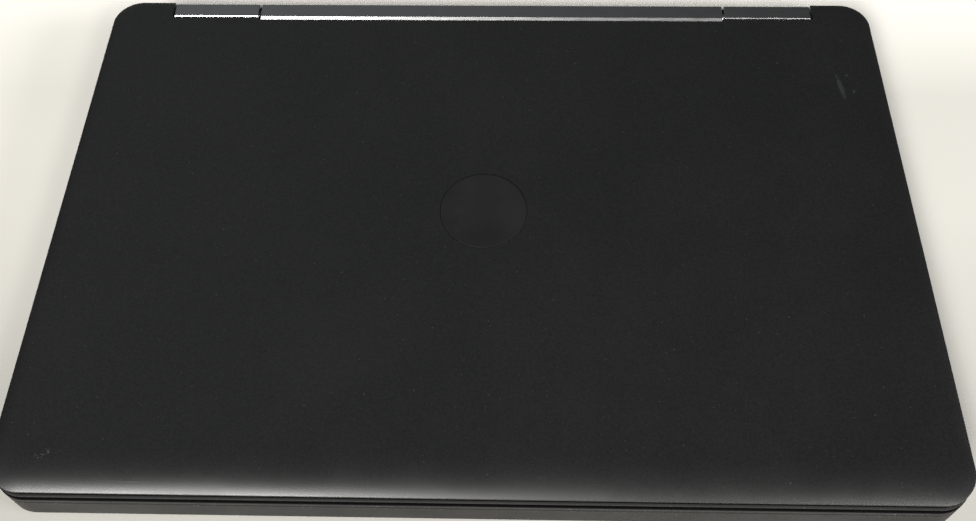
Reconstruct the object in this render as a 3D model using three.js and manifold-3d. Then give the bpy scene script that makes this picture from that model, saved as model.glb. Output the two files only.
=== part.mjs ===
// A 15.6-inch business laptop, closed, lying on its four rubber feet.
// Millimetres. +X is the user's right, -Y the front edge, +Z up. The origin is on the table, under the middle.
import * as THREE from "three";
import { mergeVertices } from "three/addons/utils/BufferGeometryUtils.js";
import Module from "manifold-3d";

const wasm = await Module();
wasm.setup();

// ---------------------------------------------------------------- driving dimensions
const WIDTH = 379; // overall, left to right
const DEPTH = 250.5; // overall, front to back
const HEIGHT = 30; // table to lid
const CORNER = 14; // plan radius of all four corners
const FIT = 0.3; // gap between pieces that touch or nest
const WALL = 1.8; // moulded shell wall

const BASE_BOTTOM = 2; // underside of the base; the feet reach down to 0
const SPLIT = 16.5; // where the bottom case meets the top case
const DECK = 20.6; // palm rest and keyboard deck
const BEZEL_FACE = 21.4; // screen bezel, face down over the deck
const BEZEL_TOP = 24.3; // where the bezel's rim meets the lid cover
const LID_INSET = 0.7; // the lid cover stands this far inside the base's outline
const BEZEL_INSET = 0.35;

const HINGE_Y = 120.35; // hinge axis, parallel to X
const HINGE_Z = 24.3;
const STRIP_HALF = 4.85; // half the depth and height of the silver hinge strip
const STRIP_ARC = 6.1; // radius of the strip's round underside about the axis
const TROUGH = 6.7; // radius of the trough in the base that the strip turns in
const BARREL_END = 116.2; // half length of the middle segment, which turns with the lid
const CAP = [117.2, 160]; // the side segments, fixed to the base
const NOTCH_END = 160.6; // half length of the cut-out in the lid's rear edge

const KEY = { unit: 18.6, gap: 0.7, top: 20.7, bottom: 18.4, taper: 1.7, web: 0.6 };
const KEYBOARD = { left: -176.6, back: 91.8, functionRow: 12.4, padLeft: 106, padUnit: 17.6 };
const KEY_OPENING = [-177.4, 177.4, -14.4, 92.6]; // x0, x1, y0, y1 of the hole in the deck
const PAD_RIB = [102.7, 105.7]; // x0, x1 of the deck's rib beside the number pad
const TOUCHPAD = [-92, 8, -92, -38];
const PAD_BUTTONS = { y0: -110, y1: -93.4, top: DECK - 0.1 };

const COVER = [-176, 52, -104, 58]; // access cover in the underside
const BATTERY = [-100, 100, 78, 125.1]; // plan of the battery pack
const BATTERY_TOP = 13.4;
const DRIVE = [58.5, 186, -68, 60]; // optical drive
const DRIVE_Z = [4.2, 13.9];
const BOARD_Z = [10, 11.2]; // circuit board

// ---------------------------------------------------------------- materials
const paint = (color, roughness, metalness = 0) =>
  new THREE.MeshStandardMaterial({ color, roughness, metalness });
const material = {
  lid: paint(0x1d1e20, 0.5),
  plastic: paint(0x202124, 0.62),
  deck: paint(0x1b1c1e, 0.58),
  silver: paint(0x9a9ca0, 0.32, 0.9),
  screen: paint(0x0a0b0d, 0.25),
  keys: paint(0x141517, 0.5),
  rubber: paint(0x121212, 0.9),
  steel: paint(0xa5a7aa, 0.35, 1),
  aluminium: paint(0xb9bbbe, 0.4, 1),
  copper: paint(0xb4693c, 0.35, 1),
  board: paint(0x0f3d2a, 0.5),
  badge: paint(0x2a2b2e, 0.3, 0.4),
};

// ---------------------------------------------------------------- solids
// A closed three.js geometry as a manifold-3d solid.
function solid(geometry) {
  const bare = new THREE.BufferGeometry();
  bare.setAttribute("position", geometry.getAttribute("position"));
  if (geometry.index) bare.setIndex(geometry.index);
  const merged = mergeVertices(bare, 1e-4);
  return new wasm.Manifold(
    new wasm.Mesh({
      numProp: 3,
      vertProperties: new Float32Array(merged.attributes.position.array),
      triVerts: new Uint32Array(merged.index.array),
    }),
  );
}

function geometryOf(made) {
  const mesh = made.getMesh();
  const geometry = new THREE.BufferGeometry();
  geometry.setAttribute("position", new THREE.BufferAttribute(mesh.vertProperties, 3));
  geometry.setIndex(new THREE.BufferAttribute(mesh.triVerts, 1));
  geometry.computeVertexNormals();
  return geometry;
}

const join = (first, ...rest) => rest.reduce((made, next) => made.add(next), first);
const cut = (first, ...rest) => rest.reduce((made, next) => made.subtract(next), first);
const mirrorX = (made) => made.mirror([1, 0, 0]);

// A block between two corners, given as x0, x1, y0, y1, z0, z1.
function block(x0, x1, y0, y1, z0, z1) {
  const geometry = new THREE.BoxGeometry(x1 - x0, y1 - y0, z1 - z0);
  geometry.translate((x0 + x1) / 2, (y0 + y1) / 2, (z0 + z1) / 2);
  return solid(geometry);
}

function rod(radius, length, sides, place) {
  const geometry = new THREE.CylinderGeometry(radius, radius, length, sides);
  place(geometry);
  return solid(geometry);
}

// Cylinders along X, Y and Z, from one end to the other.
const rodX = (radius, x0, x1, y, z, sides = 24) =>
  rod(radius, x1 - x0, sides, (g) => g.rotateZ(Math.PI / 2).translate((x0 + x1) / 2, y, z));
const rodY = (radius, y0, y1, x, z, sides = 16) =>
  rod(radius, y1 - y0, sides, (g) => g.translate(x, (y0 + y1) / 2, z));
const rodZ = (radius, z0, z1, x, y, sides = 24) =>
  rod(radius, z1 - z0, sides, (g) => g.rotateX(Math.PI / 2).translate(x, y, (z0 + z1) / 2));

function roundedRectangle(x0, x1, y0, y1, radius) {
  const shape = new THREE.Shape();
  shape.moveTo(x0 + radius, y0);
  shape.lineTo(x1 - radius, y0);
  shape.absarc(x1 - radius, y0 + radius, radius, -Math.PI / 2, 0);
  shape.lineTo(x1, y1 - radius);
  shape.absarc(x1 - radius, y1 - radius, radius, 0, Math.PI / 2);
  shape.lineTo(x0 + radius, y1);
  shape.absarc(x0 + radius, y1 - radius, radius, Math.PI / 2, Math.PI);
  shape.lineTo(x0, y0 + radius);
  shape.absarc(x0 + radius, y0 + radius, radius, Math.PI, 1.5 * Math.PI);
  return shape;
}

// A flat plate with rounded corners.
function plate(x0, x1, y0, y1, radius, z0, z1, curveSegments = 5) {
  const shape = roundedRectangle(x0, x1, y0, y1, radius);
  const geometry = new THREE.ExtrudeGeometry(shape, {
    depth: z1 - z0,
    bevelEnabled: false,
    curveSegments,
  });
  geometry.translate(0, 0, z0);
  return solid(geometry);
}

// The laptop's own outline, moved in by inset.
const outline = (inset, z0, z1) =>
  plate(
    -WIDTH / 2 + inset,
    WIDTH / 2 - inset,
    -DEPTH / 2 + inset,
    DEPTH / 2 - inset,
    CORNER - inset,
    z0,
    z1,
    6,
  );

// A shape in the Y-Z plane, pushed along X.
function alongX(shape, x0, x1, curveSegments = 6) {
  const geometry = new THREE.ExtrudeGeometry(shape, {
    depth: x1 - x0,
    bevelEnabled: false,
    curveSegments,
  });
  // the shape's x becomes Y, its y becomes Z and its depth becomes X
  geometry.applyMatrix4(
    new THREE.Matrix4().makeBasis(
      new THREE.Vector3(0, 1, 0),
      new THREE.Vector3(0, 0, 1),
      new THREE.Vector3(1, 0, 0),
    ),
  );
  geometry.translate(x0, 0, 0);
  return solid(geometry);
}

// A closed solid through rings of points, with flat ends.
function skin(rings) {
  const index = [];
  const count = rings[0].length;
  for (let ring = 0; ring + 1 < rings.length; ring++)
    for (let i = 0; i < count; i++) {
      const a = ring * count + i;
      const b = ring * count + ((i + 1) % count);
      index.push(a, b, b + count, a, b + count, a + count);
    }
  const last = (rings.length - 1) * count;
  for (let i = 1; i + 1 < count; i++) {
    index.push(0, i + 1, i);
    index.push(last, last + i, last + i + 1);
  }
  const geometry = new THREE.BufferGeometry();
  geometry.setAttribute("position", new THREE.Float32BufferAttribute(rings.flat(2), 3));
  geometry.setIndex(index);
  return solid(geometry);
}

// ---------------------------------------------------------------- the scene graph
const laptop = new THREE.Group();
const base = new THREE.Group();
const keyboard = new THREE.Group();
const lid = new THREE.Group();
keyboard.position.set(0, 0, KEY.bottom);
lid.position.set(0, HINGE_Y, HINGE_Z);
laptop.add(base, lid);
base.add(keyboard);
laptop.updateMatrixWorld(true);

// Adds a solid that is already in the laptop's own frame to a group, wherever that group stands.
function addPiece(group, name, made, look) {
  const mesh = new THREE.Mesh(geometryOf(made), look);
  mesh.name = name;
  laptop.add(mesh);
  group.attach(mesh);
  return mesh;
}

// ---------------------------------------------------------------- hinge strip
// Section of the strip: flat on top, a sloping front facet, and round underneath about the hinge axis.
function stripSection(arc) {
  const side = STRIP_HALF;
  const low = -Math.sqrt(arc * arc - side * side);
  const start = Math.atan2(low, -side);
  const end = Math.atan2(low, side);
  const shape = new THREE.Shape();
  shape.moveTo(HINGE_Y + side, HINGE_Z + side - 1.2);
  shape.lineTo(HINGE_Y + side - 1.2, HINGE_Z + side);
  shape.lineTo(HINGE_Y - side + 2.9, HINGE_Z + side);
  shape.lineTo(HINGE_Y - side, HINGE_Z + side - 1.9);
  shape.lineTo(HINGE_Y - side, HINGE_Z + low);
  shape.absarc(HINGE_Y, HINGE_Z, arc, start, end);
  return shape;
}

const HINGE_BORE = 4.3; // hollow inside the strip, for the hinge knuckles
const PIN_RADIUS = 2.4;
const RISER = [122, 148, 118.2, 122.5]; // hinge mount's upright, in plan, on the right-hand side

function hingeBarrel() {
  const tube = alongX(stripSection(STRIP_ARC), -BARREL_END, BARREL_END);
  const bore = rodX(HINGE_BORE, -BARREL_END - 1, BARREL_END + 1, HINGE_Y, HINGE_Z);
  const armSlot = block(100.6, 113.2, HINGE_Y - 8, HINGE_Y, 23.4, 27.6);
  return cut(tube, bore, armSlot, mirrorX(armSlot));
}

function hingeCap() {
  const closedEnd = CAP[1] - WALL;
  return cut(
    alongX(stripSection(STRIP_ARC), ...CAP),
    rodX(HINGE_BORE, CAP[0] - 1, closedEnd, HINGE_Y, HINGE_Z),
    block(RISER[0] - 0.4, RISER[1] + 0.4, RISER[2] - 0.3, RISER[3] + 0.3, 15, HINGE_Z),
  );
}

// Base-side hinge bracket: a foot inside the bottom case, an upright, a knuckle and the hinge pin.
function hingeMount() {
  return join(
    block(RISER[0], RISER[1], 106, RISER[3], 13.3, 14.7),
    block(...RISER, 13.3, HINGE_Z),
    rodX(3.9, 119, 150, HINGE_Y, HINGE_Z),
    rodX(PIN_RADIUS, 101, 120, HINGE_Y, HINGE_Z, 20),
  );
}

// Lid-side hinge arm: a knuckle that turns on the pin, and a plate screwed to the lid cover.
function hingeArm() {
  const arm = join(
    rodX(3.95, 102, 112, HINGE_Y, HINGE_Z),
    block(102.5, 111.5, 108, HINGE_Y - 2.6, 24.6, 26.2),
    block(86, 111.5, 101.6, 111.4, 24.6, 26.2),
  );
  return cut(arm, rodX(PIN_RADIUS + 0.4, 101, 113, HINGE_Y, HINGE_Z, 20));
}

// ---------------------------------------------------------------- lid
// The lid's top curves down in a wide band along the front and a narrow one along the other edges.
const CROWN = { front: 17, frontDrop: 3.2, edge: 7, edgeDrop: 0.9, power: 2.6, steps: 6 };

// Points of a rounded rectangle, each with its share of the front band: 1 in front, 0 elsewhere.
function crownOutline(x, y0, y1, radius, cornerSteps) {
  const centres = [
    [x - radius, y0 + radius],
    [x - radius, y1 - radius],
    [radius - x, y1 - radius],
    [radius - x, y0 + radius],
  ];
  return centres.flatMap(([cx, cy], corner) =>
    Array.from({ length: cornerSteps + 1 }, (_, step) => {
      const angle = (corner - 1 + step / cornerSteps) * (Math.PI / 2);
      const front = Math.max(0, -Math.sin(angle)) ** 2;
      return { x: cx + radius * Math.cos(angle), y: cy + radius * Math.sin(angle), front };
    }),
  );
}

// The crowned lid from its rim up to its flat top.
function crowned(inset, lower, rim, cornerSteps) {
  const x = WIDTH / 2 - inset;
  const y = DEPTH / 2 - inset;
  const { front, frontDrop, edge, edgeDrop, power, steps } = CROWN;
  const outer = crownOutline(x, -y, y, CORNER - inset, cornerSteps);
  const flat = crownOutline(x - edge, front - y, y - edge, CORNER - edge, cornerSteps);
  const rings = [outer.map((point) => [point.x, point.y, rim])];
  for (let step = 0; step <= steps; step++) {
    const along = (step / steps) ** 1.4;
    rings.push(
      outer.map((point, i) => [
        point.x + (flat[i].x - point.x) * along,
        point.y + (flat[i].y - point.y) * along,
        HEIGHT - lower - (edgeDrop + (frontDrop - edgeDrop) * point.front) * (1 - along) ** power,
      ]),
    );
  }
  return skin(rings);
}

const BADGE_RADIUS = 19;
const BADGE_Y = 1.5;

function lidCover() {
  const tail = (x0, x1) => rodX(STRIP_ARC, x0, x1, HINGE_Y, HINGE_Z);
  const tails = join(tail(NOTCH_END, WIDTH / 2), tail(-WIDTH / 2, -NOTCH_END));
  const outer = join(
    crowned(LID_INSET, 0, BEZEL_TOP + FIT, 6),
    outline(LID_INSET, HINGE_Z - STRIP_ARC - 1, BEZEL_TOP + 1).intersect(tails),
  );
  const cavity = crowned(LID_INSET + WALL, WALL, BEZEL_TOP - 1, 3)
    .intersect(block(-WIDTH / 2, WIDTH / 2, -DEPTH / 2, 112.4, 0, HEIGHT));
  const notch = join(
    block(-NOTCH_END, NOTCH_END, HINGE_Y - STRIP_HALF - 0.35, DEPTH, 10, HEIGHT + 5),
    rodX(STRIP_ARC + FIT, -NOTCH_END, NOTCH_END, HINGE_Y, HINGE_Z),
  );
  const armSlot = block(101.6, 112.4, 112, HINGE_Y, 24.2, 26.6);
  const badgePocket = rodZ(BADGE_RADIUS + FIT, HEIGHT - 0.5, HEIGHT + 1, 0, BADGE_Y, 32);
  return cut(outer, cavity, notch, armSlot, mirrorX(armSlot), badgePocket);
}

const SCREEN = [-172.4, 172.4, -105.2, 89.2]; // visible picture area
const PANEL = [-180, 180, -115.5, 99.5]; // outline of the display module
const WEBCAM_Y = -118.7;

function screenBezel() {
  const tray = cut(
    outline(BEZEL_INSET, BEZEL_FACE, BEZEL_TOP),
    outline(BEZEL_INSET + WALL, BEZEL_FACE + 1.6, HEIGHT),
  );
  const behind = block(-WIDTH, WIDTH, HINGE_Y - 6.6, DEPTH, 0, HEIGHT);
  const lens = rodZ(1.6, 20, 24, 0, WEBCAM_Y, 12);
  return cut(tray, block(...SCREEN, 20, 24), behind, lens);
}

function lcdPanel() {
  return join(
    block(...PANEL, BEZEL_FACE + 1.9, 26.9),
    block(SCREEN[0] + FIT, SCREEN[1] - FIT, SCREEN[2] + FIT, SCREEN[3] - FIT, 22.5, 24),
  );
}

function webcamModule() {
  const face = BEZEL_FACE + 1.9;
  return join(
    block(-30, 30, -121.4, -116, face, face + 1),
    block(-4.5, 4.5, -121.4, -116, face, face + 2),
    rodZ(1.3, BEZEL_FACE + 0.6, face + 1, 0, WEBCAM_Y, 12),
  );
}

function lidBadge() {
  return rodZ(BADGE_RADIUS, HEIGHT - 0.45, HEIGHT - 0.02, 0, BADGE_Y, 32);
}

// ---------------------------------------------------------------- base shells
const trough = rodX(TROUGH, -WIDTH, WIDTH, HINGE_Y, HINGE_Z, 32);
const INNER = WIDTH / 2 - WALL; // inside face of the side walls

// Sockets soldered to the motherboard: metal shell, mouth, and the contact tongue in the mouth.
const SOCKETS = [
  {
    shell: [-189, -174, 64, 77.4, 4.4, 10.4],
    mouth: [-190, -176, 64.6, 76.8, 5, 9.8],
    tongue: [-187.5, -175, 65.6, 75.8, 7.6, 9],
  },
  {
    shell: [174, 189, 68, 81.4, 4.4, 10.4],
    mouth: [176, 190, 68.6, 80.8, 5, 9.8],
    tongue: [175, 187.5, 69.6, 79.8, 7.6, 9],
  },
  {
    shell: [-139, -123, 110, 124.8, 4.6, 10.4],
    mouth: [-138.2, -123.8, 113, 126, 5.4, 9.6],
    tongue: [-136, -126, 112, 123.5, 7.2, 8.4],
  },
  {
    shell: [119, 150, 110, 124.6, 4.1, 12.9],
    mouth: [126, 143, 118, 126, 5.2, 11.8],
    tongue: [127, 142, 117, 123.6, 6.2, 10.8],
  },
];
const NETWORK = {
  shell: [-168, -152, 104, 124.8, 4.1, 14.7],
  mouth: [-165.9, -154.1, 110, 126, 5.4, 13.4],
  tongue: [-164, -156, 109, 121, 12.2, 12.8],
};
const INLET = { x: 170, z: 9.4, outer: 4, bore: 3.2, pin: 0.8 }; // round power inlet
const AUDIO = { y: -98, z: 8, bore: 1.8 }; // headset jack

function wallOpenings() {
  const openings = [...SOCKETS, NETWORK].map(({ shell: [x0, x1, y0, y1, z0, z1] }) => {
    const rear = y1 > 120;
    const [gx, gy] = rear ? [FIT, 3] : [3, FIT];
    return block(x0 - gx, x1 + gx, y0 - gy, y1 + gy, z0 - FIT, z1 + FIT);
  });
  openings.push(
    rodY(INLET.outer + FIT, 118, 127, INLET.x, INLET.z, 20),
    rodX(3.2, -190, -186, AUDIO.y, AUDIO.z, 16),
    block(-190, -186, -40, 12, 12.2, 13.6), // card slot
    block(186, 190, 98, 105, 7, 10), // lock slot
    block(DRIVE[1] - 4, 190, DRIVE[2] + 0.4, DRIVE[3] - 0.4, DRIVE_Z[0] - 0.2, DRIVE_Z[1] + 0.2),
  );
  for (let slot = 0; slot < 9; slot++) {
    const y = 18 + slot * 4.6;
    openings.push(block(-190, -187, y, y + 2.6, 5, 14)); // exhaust louvres beside the fan
  }
  return openings;
}

const LATCH = { x: -56, y: 69.4, width: 16, depth: 6, travel: 6 };
const FEET = [[-165, -116], [165, -116], [-165, 108], [165, 108]];
const FOOT = { length: 26, width: 9, sunk: 0.7 };
const SCREWS = [[-120, 51], [30, 51]]; // captive screws of the access cover

function bottomCase() {
  const rim = CORNER - WALL;
  const rear = DEPTH / 2 - WALL;
  const floor = BASE_BOTTOM + WALL;
  const shell = cut(
    outline(0, BASE_BOTTOM, SPLIT),
    plate(-INNER, INNER, -rear, 112, rim, floor, SPLIT + 1),
    plate(-INNER, INNER, 90, rear, rim, floor, 15),
  );
  // the rear deck carries the hinge trough
  const rearDeck = outline(0, 15, 19.4).intersect(block(-WIDTH, WIDTH, 117.4, DEPTH, 0, HEIGHT));
  const troughRib = block(-INNER, INNER, 115, 118, 15, 18.4);
  const [bx0, bx1, by0] = BATTERY;
  const bayRoof = BATTERY_TOP + FIT + 1.2;
  const bayWalls = block(bx0 - 2.1, bx1 + 2.1, by0 - 2.1, DEPTH / 2 - 1, BASE_BOTTOM, bayRoof);
  const bay = block(bx0 - FIT, bx1 + FIT, by0 - FIT, DEPTH, 0, BATTERY_TOP + FIT);
  const [cx0, cx1, cy0, cy1] = COVER;
  const coverFrame = block(cx0 - 2, cx1 + 2, cy0 - 2, cy1 + 2, BASE_BOTTOM, 5.1);
  const coverPocket = block(cx0 - FIT, cx1 + FIT, cy0 - FIT, cy1 + FIT, 0, 3.9);
  const coverHole = block(cx0 + 2, cx1 - 2, cy0 + 2, cy1 - 9, 0, 6);
  const latchBoss = block(LATCH.x - 16, LATCH.x + 16, 64.6, 74.4, 3, 5.6);
  const latchPocket = block(LATCH.x - 12.5, LATCH.x + 12.5, 65.9, 72.9, 0, 4.2);
  const riserSlot = block(RISER[0] - 0.4, RISER[1] + 0.4, RISER[2] - 0.4, RISER[3] + 0.4, 14, 20);
  const solids = join(shell, rearDeck, troughRib, bayWalls, coverFrame, latchBoss);
  return cut(
    solids,
    trough,
    bay,
    coverPocket,
    coverHole,
    latchPocket,
    riserSlot,
    mirrorX(riserSlot),
    ...FEET.map(([x, y]) => foot(x, y, FIT)),
    ...SCREWS.map(([x, y]) => rodZ(1.9, 0, 6, x, y, 12)),
    ...wallOpenings(),
  );
}

function foot(x, y, grow) {
  const halfLength = FOOT.length / 2 + grow;
  const halfWidth = FOOT.width / 2 + grow;
  const top = BASE_BOTTOM + FOOT.sunk + grow;
  return plate(x - halfLength, x + halfLength, y - halfWidth, y + halfWidth, 3.5, 0, top, 3);
}

const POWER_BUTTON = [158, 103.5];
const MEDIA_BUTTONS = { volume_down_button: -166, volume_up_button: -153, mute_button: -140 };
const MEDIA = { width: 10, depth: 4.4, y: 103.5 };

function topCase() {
  const skin = 1.9;
  const slab = cut(
    outline(0, SPLIT + FIT, DECK),
    plate(-INNER, INNER, -DEPTH / 2 + WALL, 140, CORNER - WALL, SPLIT, DECK - skin),
    trough,
    block(-WIDTH, WIDTH, 117, DEPTH, 0, HEIGHT),
  );
  const [tx0, tx1, ty0, ty1] = TOUCHPAD;
  const buttons = block(tx0 - FIT, tx1 + FIT, PAD_BUTTONS.y0 - FIT, PAD_BUTTONS.y1, 10, 30);
  const media = Object.values(MEDIA_BUTTONS).map((x) => mediaButton(x, FIT, 10, 30));
  return cut(
    slab,
    cut(block(...KEY_OPENING, 10, 30), block(...PAD_RIB, -DEPTH, DEPTH, 10, 30)),
    block(tx0 - FIT, tx1 + FIT, ty0 - FIT, ty1 + FIT, 10, 30),
    buttons,
    rodZ(6.2 + FIT, 10, 30, ...POWER_BUTTON, 24),
    ...media,
  );
}

function mediaButton(x, grow, z0, z1) {
  const w = MEDIA.width / 2 + grow;
  const d = MEDIA.depth / 2 + grow;
  return plate(x - w, x + w, MEDIA.y - d, MEDIA.y + d, 1.5, z0, z1, 3);
}

function accessCover() {
  const [x0, x1, y0, y1] = COVER;
  const panel = block(x0, x1, y0, y1, BASE_BOTTOM, 3.6);
  const screwHoles = SCREWS.map(([x, y]) => rodZ(2.2, 0, 6, x, y, 12));
  const counterbores = SCREWS.map(([x, y]) => rodZ(3.9, 0, 2.9, x, y, 16));
  const vents = [];
  for (let slot = 0; slot < 10; slot++) {
    const y = 10 + slot * 3.6;
    vents.push(block(-166, -130, y, y + 1.8, 0, 6)); // fan intake
  }
  return cut(panel, ...screwHoles, ...counterbores, ...vents);
}

function captiveScrew(x, y) {
  return join(rodZ(3.5, 2.1, 2.7, x, y, 16), rodZ(1.6, 2.7, 5.6, x, y, 12));
}

// ---------------------------------------------------------------- what the base holds
function batteryPack() {
  const [x0, x1, y0, y1] = BATTERY;
  const pack = block(x0, x1, y0, y1, BASE_BOTTOM + 0.1, BATTERY_TOP);
  return cut(pack, block(x0 - 1, x1 + 1, y1 - 1.2, y1 + 1, 0, 4));
}

function batteryLatch() {
  const half = LATCH.width / 2;
  const slider = block(LATCH.x - half, LATCH.x + half - 2, 66.3, 72.5, BASE_BOTTOM + 0.15, 3.9);
  const grips = [-4, -1, 2].map((dx) =>
    block(LATCH.x + dx - 0.5, LATCH.x + dx + 0.5, 67.5, 71.3, 0, BASE_BOTTOM + 0.7),
  );
  return cut(slider, ...grips);
}

function motherboard() {
  const shape = new THREE.Shape();
  [
    [-101.5, -62], [55, -62], [55, 62], [183, 62], [183, 116], [106, 116], [106, 73],
    [-106, 73], [-106, 116], [-151.4, 116], [-151.4, 103.4], [-183, 103.4], [-183, 63],
    [-118, 63], [-118, 4], [-101.5, 4],
  ].forEach(([x, y], i) => (i ? shape.lineTo(x, y) : shape.moveTo(x, y)));
  const sheet = new THREE.ExtrudeGeometry(shape, {
    depth: BOARD_Z[1] - BOARD_Z[0],
    bevelEnabled: false,
  });
  sheet.translate(0, 0, BOARD_Z[0]);
  const parts = [
    ...SOCKETS.map(({ shell }) => block(...shell)),
    rodY(INLET.outer, 108, 124.6, INLET.x, INLET.z, 20),
    block(-26, 2, 23, 49, 11, 12.6), // processor
    block(-62, -42, 4, 24, 11, 12.4),
    block(14, 34, -14, 6, 11, 12.4),
    block(-90, -4, -62, -57, 6.6, 10.1), // memory socket
  ];
  const mouths = [
    ...SOCKETS.map(({ mouth }) => block(...mouth)),
    rodY(INLET.bore, 112, 126, INLET.x, INLET.z, 20),
  ];
  const contacts = [
    ...SOCKETS.map(({ tongue }) => block(...tongue)),
    rodY(INLET.pin, 111, 123.6, INLET.x, INLET.z, 8),
  ];
  return join(cut(join(solid(sheet), ...parts), ...mouths), ...contacts);
}

function networkSocket() {
  const { shell, mouth, tongue } = NETWORK;
  return join(cut(block(...shell), block(...mouth)), block(...tongue));
}

function heatsink() {
  const fins = [];
  for (let fin = 0; fin < 12; fin++) {
    const y = 17.5 + fin * 3.7;
    fins.push(block(-186.6, -177.6, y, y + 0.9, 5.4, 13.6));
  }
  const pipe = [12.9, 14.9];
  return join(
    block(-186.6, -177.6, 17.5, 59.1, 13.3, 14.6),
    ...fins,
    block(-184, -180, 58, 66, ...pipe),
    block(-184, -60, 64.4, 69.6, ...pipe),
    block(-64, -59, 34, 69.6, ...pipe),
    block(-64, 4, 34, 40.4, ...pipe),
    block(-28, 4, 21, 51, 12.9, 14.1), // cold plate on the processor
  );
}

const FAN = { x: -146, y: 36, radius: 22 };

function fanHousing() {
  const box = plate(-176.4, -120, 11, 61, 6, 5.6, 14.4, 4);
  return cut(
    box,
    rodZ(FAN.radius + 1.5, 6.4, 13.6, FAN.x, FAN.y, 32),
    block(-178, FAN.x, 16, 57, 6.4, 13.6),
    rodZ(16, 13, 16, FAN.x, FAN.y, 24),
    rodZ(16, 4, 7, FAN.x, FAN.y, 24),
  );
}

// Hub and swept blades of the blower, turning about a vertical axis.
function fanRotor() {
  const blades = [];
  const count = 11;
  for (let blade = 0; blade < count; blade++) {
    const geometry = new THREE.BoxGeometry(FAN.radius - 8, 1, 5.6);
    geometry.translate((FAN.radius + 7) / 2, 0, 0);
    geometry.rotateZ(0.35);
    geometry.translate(0, -2.4, 0);
    geometry.rotateZ((blade / count) * 2 * Math.PI);
    geometry.translate(FAN.x, FAN.y, 10);
    blades.push(solid(geometry));
  }
  return join(rodZ(10, 7, 13, FAN.x, FAN.y, 24), ...blades)
    .intersect(rodZ(FAN.radius, 0, 30, FAN.x, FAN.y, 24));
}

function opticalDriveCase() {
  const [x0, x1, y0, y1] = DRIVE;
  return cut(
    block(x0, x1 - 3.4, y0, y1, ...DRIVE_Z),
    block(x0 + 1, x1 + 5, y0 + 1, y1 - 1, DRIVE_Z[0] + 0.8, DRIVE_Z[1] - 0.8),
  );
}

const DISC = { radius: 60.4, hub: 10 };

function opticalTray() {
  const [x0, x1, y0, y1] = DRIVE;
  const plateTop = 9.4;
  const centre = [x0 + 66, (y0 + y1) / 2];
  const tray = join(
    block(x0 + 2, x1 + 1, y0 + 1.6, y1 - 1.6, 6, plateTop),
    block(x1, WIDTH / 2 - 0.1, y0 + 0.8, y1 - 0.8, DRIVE_Z[0] + 0.2, DRIVE_Z[1] - 0.2),
  );
  const well = rodZ(DISC.radius, 7.4, 12, ...centre, 48);
  const hub = rodZ(DISC.hub, 7, plateTop + 1, ...centre, 24);
  return cut(
    tray,
    cut(well, hub),
    ejectButton(FIT, 185),
  );
}

function ejectButton(grow, x0) {
  const x1 = grow ? 200 : WIDTH / 2 - 0.05;
  return block(x0, x1, -30 - grow, -21 + grow, 9.6 - grow, 11.8 + grow);
}

function hardDrive() {
  return join(
    block(-173.5, -103.7, -100, 0, 5.6, 13.4),
    block(-171.5, -105.7, -98, -4, 13, 14.2),
  );
}

function memoryModule() {
  return join(
    block(-80, -12, -56, -26, 7.4, 8.4),
    block(-74, -62, -52, -34, 8.2, 9.6),
    block(-54, -42, -52, -34, 8.2, 9.6),
    block(-34, -22, -52, -34, 8.2, 9.6),
  );
}

function audioBoard() {
  const { y, z, bore } = AUDIO;
  const board = join(
    block(-186.6, -179.6, y - 8, y + 14, 4.6, 5.8),
    block(-187, -180, y - 3.6, y + 3.6, 5.4, 11.2),
    rodX(2.8, -189.2, -186, y, z, 16),
  );
  return cut(board, rodX(bore, -190, -181.5, y, z, 16));
}

function speaker(x) {
  return join(
    plate(x - 28, x + 28, -121.4, -107.4, 3, 5.6, 11.6, 3),
    rodZ(5.4, 11, 12.4, x - 10, -114.4, 20),
  );
}

// ---------------------------------------------------------------- deck fittings and keys
function keyboardPlate() {
  const [x0, x1, y0, y1] = KEY_OPENING;
  return block(x0 - 1.2, x1 + 1.2, y0 - 1.2, y1 + 1.2, 15.2, 16);
}

function touchpad() {
  const [x0, x1, y0, y1] = TOUCHPAD;
  return join(
    plate(x0, x1, y0, y1, 2, DECK - 2.6, DECK - FIT, 3),
    block(x0 - 3, x1 + 3, y0 - 0.5, y1 + 3, DECK - 3.8, DECK - 2.2),
  );
}

function padButton(side) {
  const middle = (TOUCHPAD[0] + TOUCHPAD[1]) / 2;
  const [x0, x1] = side < 0 ? [TOUCHPAD[0], middle - 0.25] : [middle + 0.25, TOUCHPAD[1]];
  return plate(x0, x1, PAD_BUTTONS.y0, PAD_BUTTONS.y1 - FIT, 2, DECK - 2.2, PAD_BUTTONS.top, 3);
}

// One keycap, narrower at the top. Its corner is at x, y and its underside at z = 0.
function keycap(x, y, width, depth) {
  const height = KEY.top - KEY.bottom;
  const w = width - KEY.gap;
  const d = depth - KEY.gap;
  const geometry = new THREE.BoxGeometry(w, d, height);
  const position = geometry.getAttribute("position");
  for (let i = 0; i < position.count; i++)
    if (position.getZ(i) > 0) {
      position.setX(i, position.getX(i) * (1 - (2 * KEY.taper) / w));
      position.setY(i, position.getY(i) * (1 - (2 * KEY.taper) / d));
    }
  geometry.translate(x + width / 2, y + depth / 2, height / 2);
  return solid(geometry);
}

// Keys that share one travel: their caps on a thin carrier under them.
function keyBlock(keys) {
  const caps = keys.map((key) => keycap(...key));
  if (caps.length === 1) return caps[0];
  const edge = KEY.gap / 2;
  const x0 = Math.min(...keys.map(([x]) => x)) + edge;
  const x1 = Math.max(...keys.map(([x, , w]) => x + w)) - edge;
  const y0 = Math.min(...keys.map(([, y]) => y)) + edge;
  const y1 = Math.max(...keys.map(([, y, , d]) => y + d)) - edge;
  return join(block(x0, x1, y0, y1, 0, KEY.web), ...caps);
}

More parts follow.
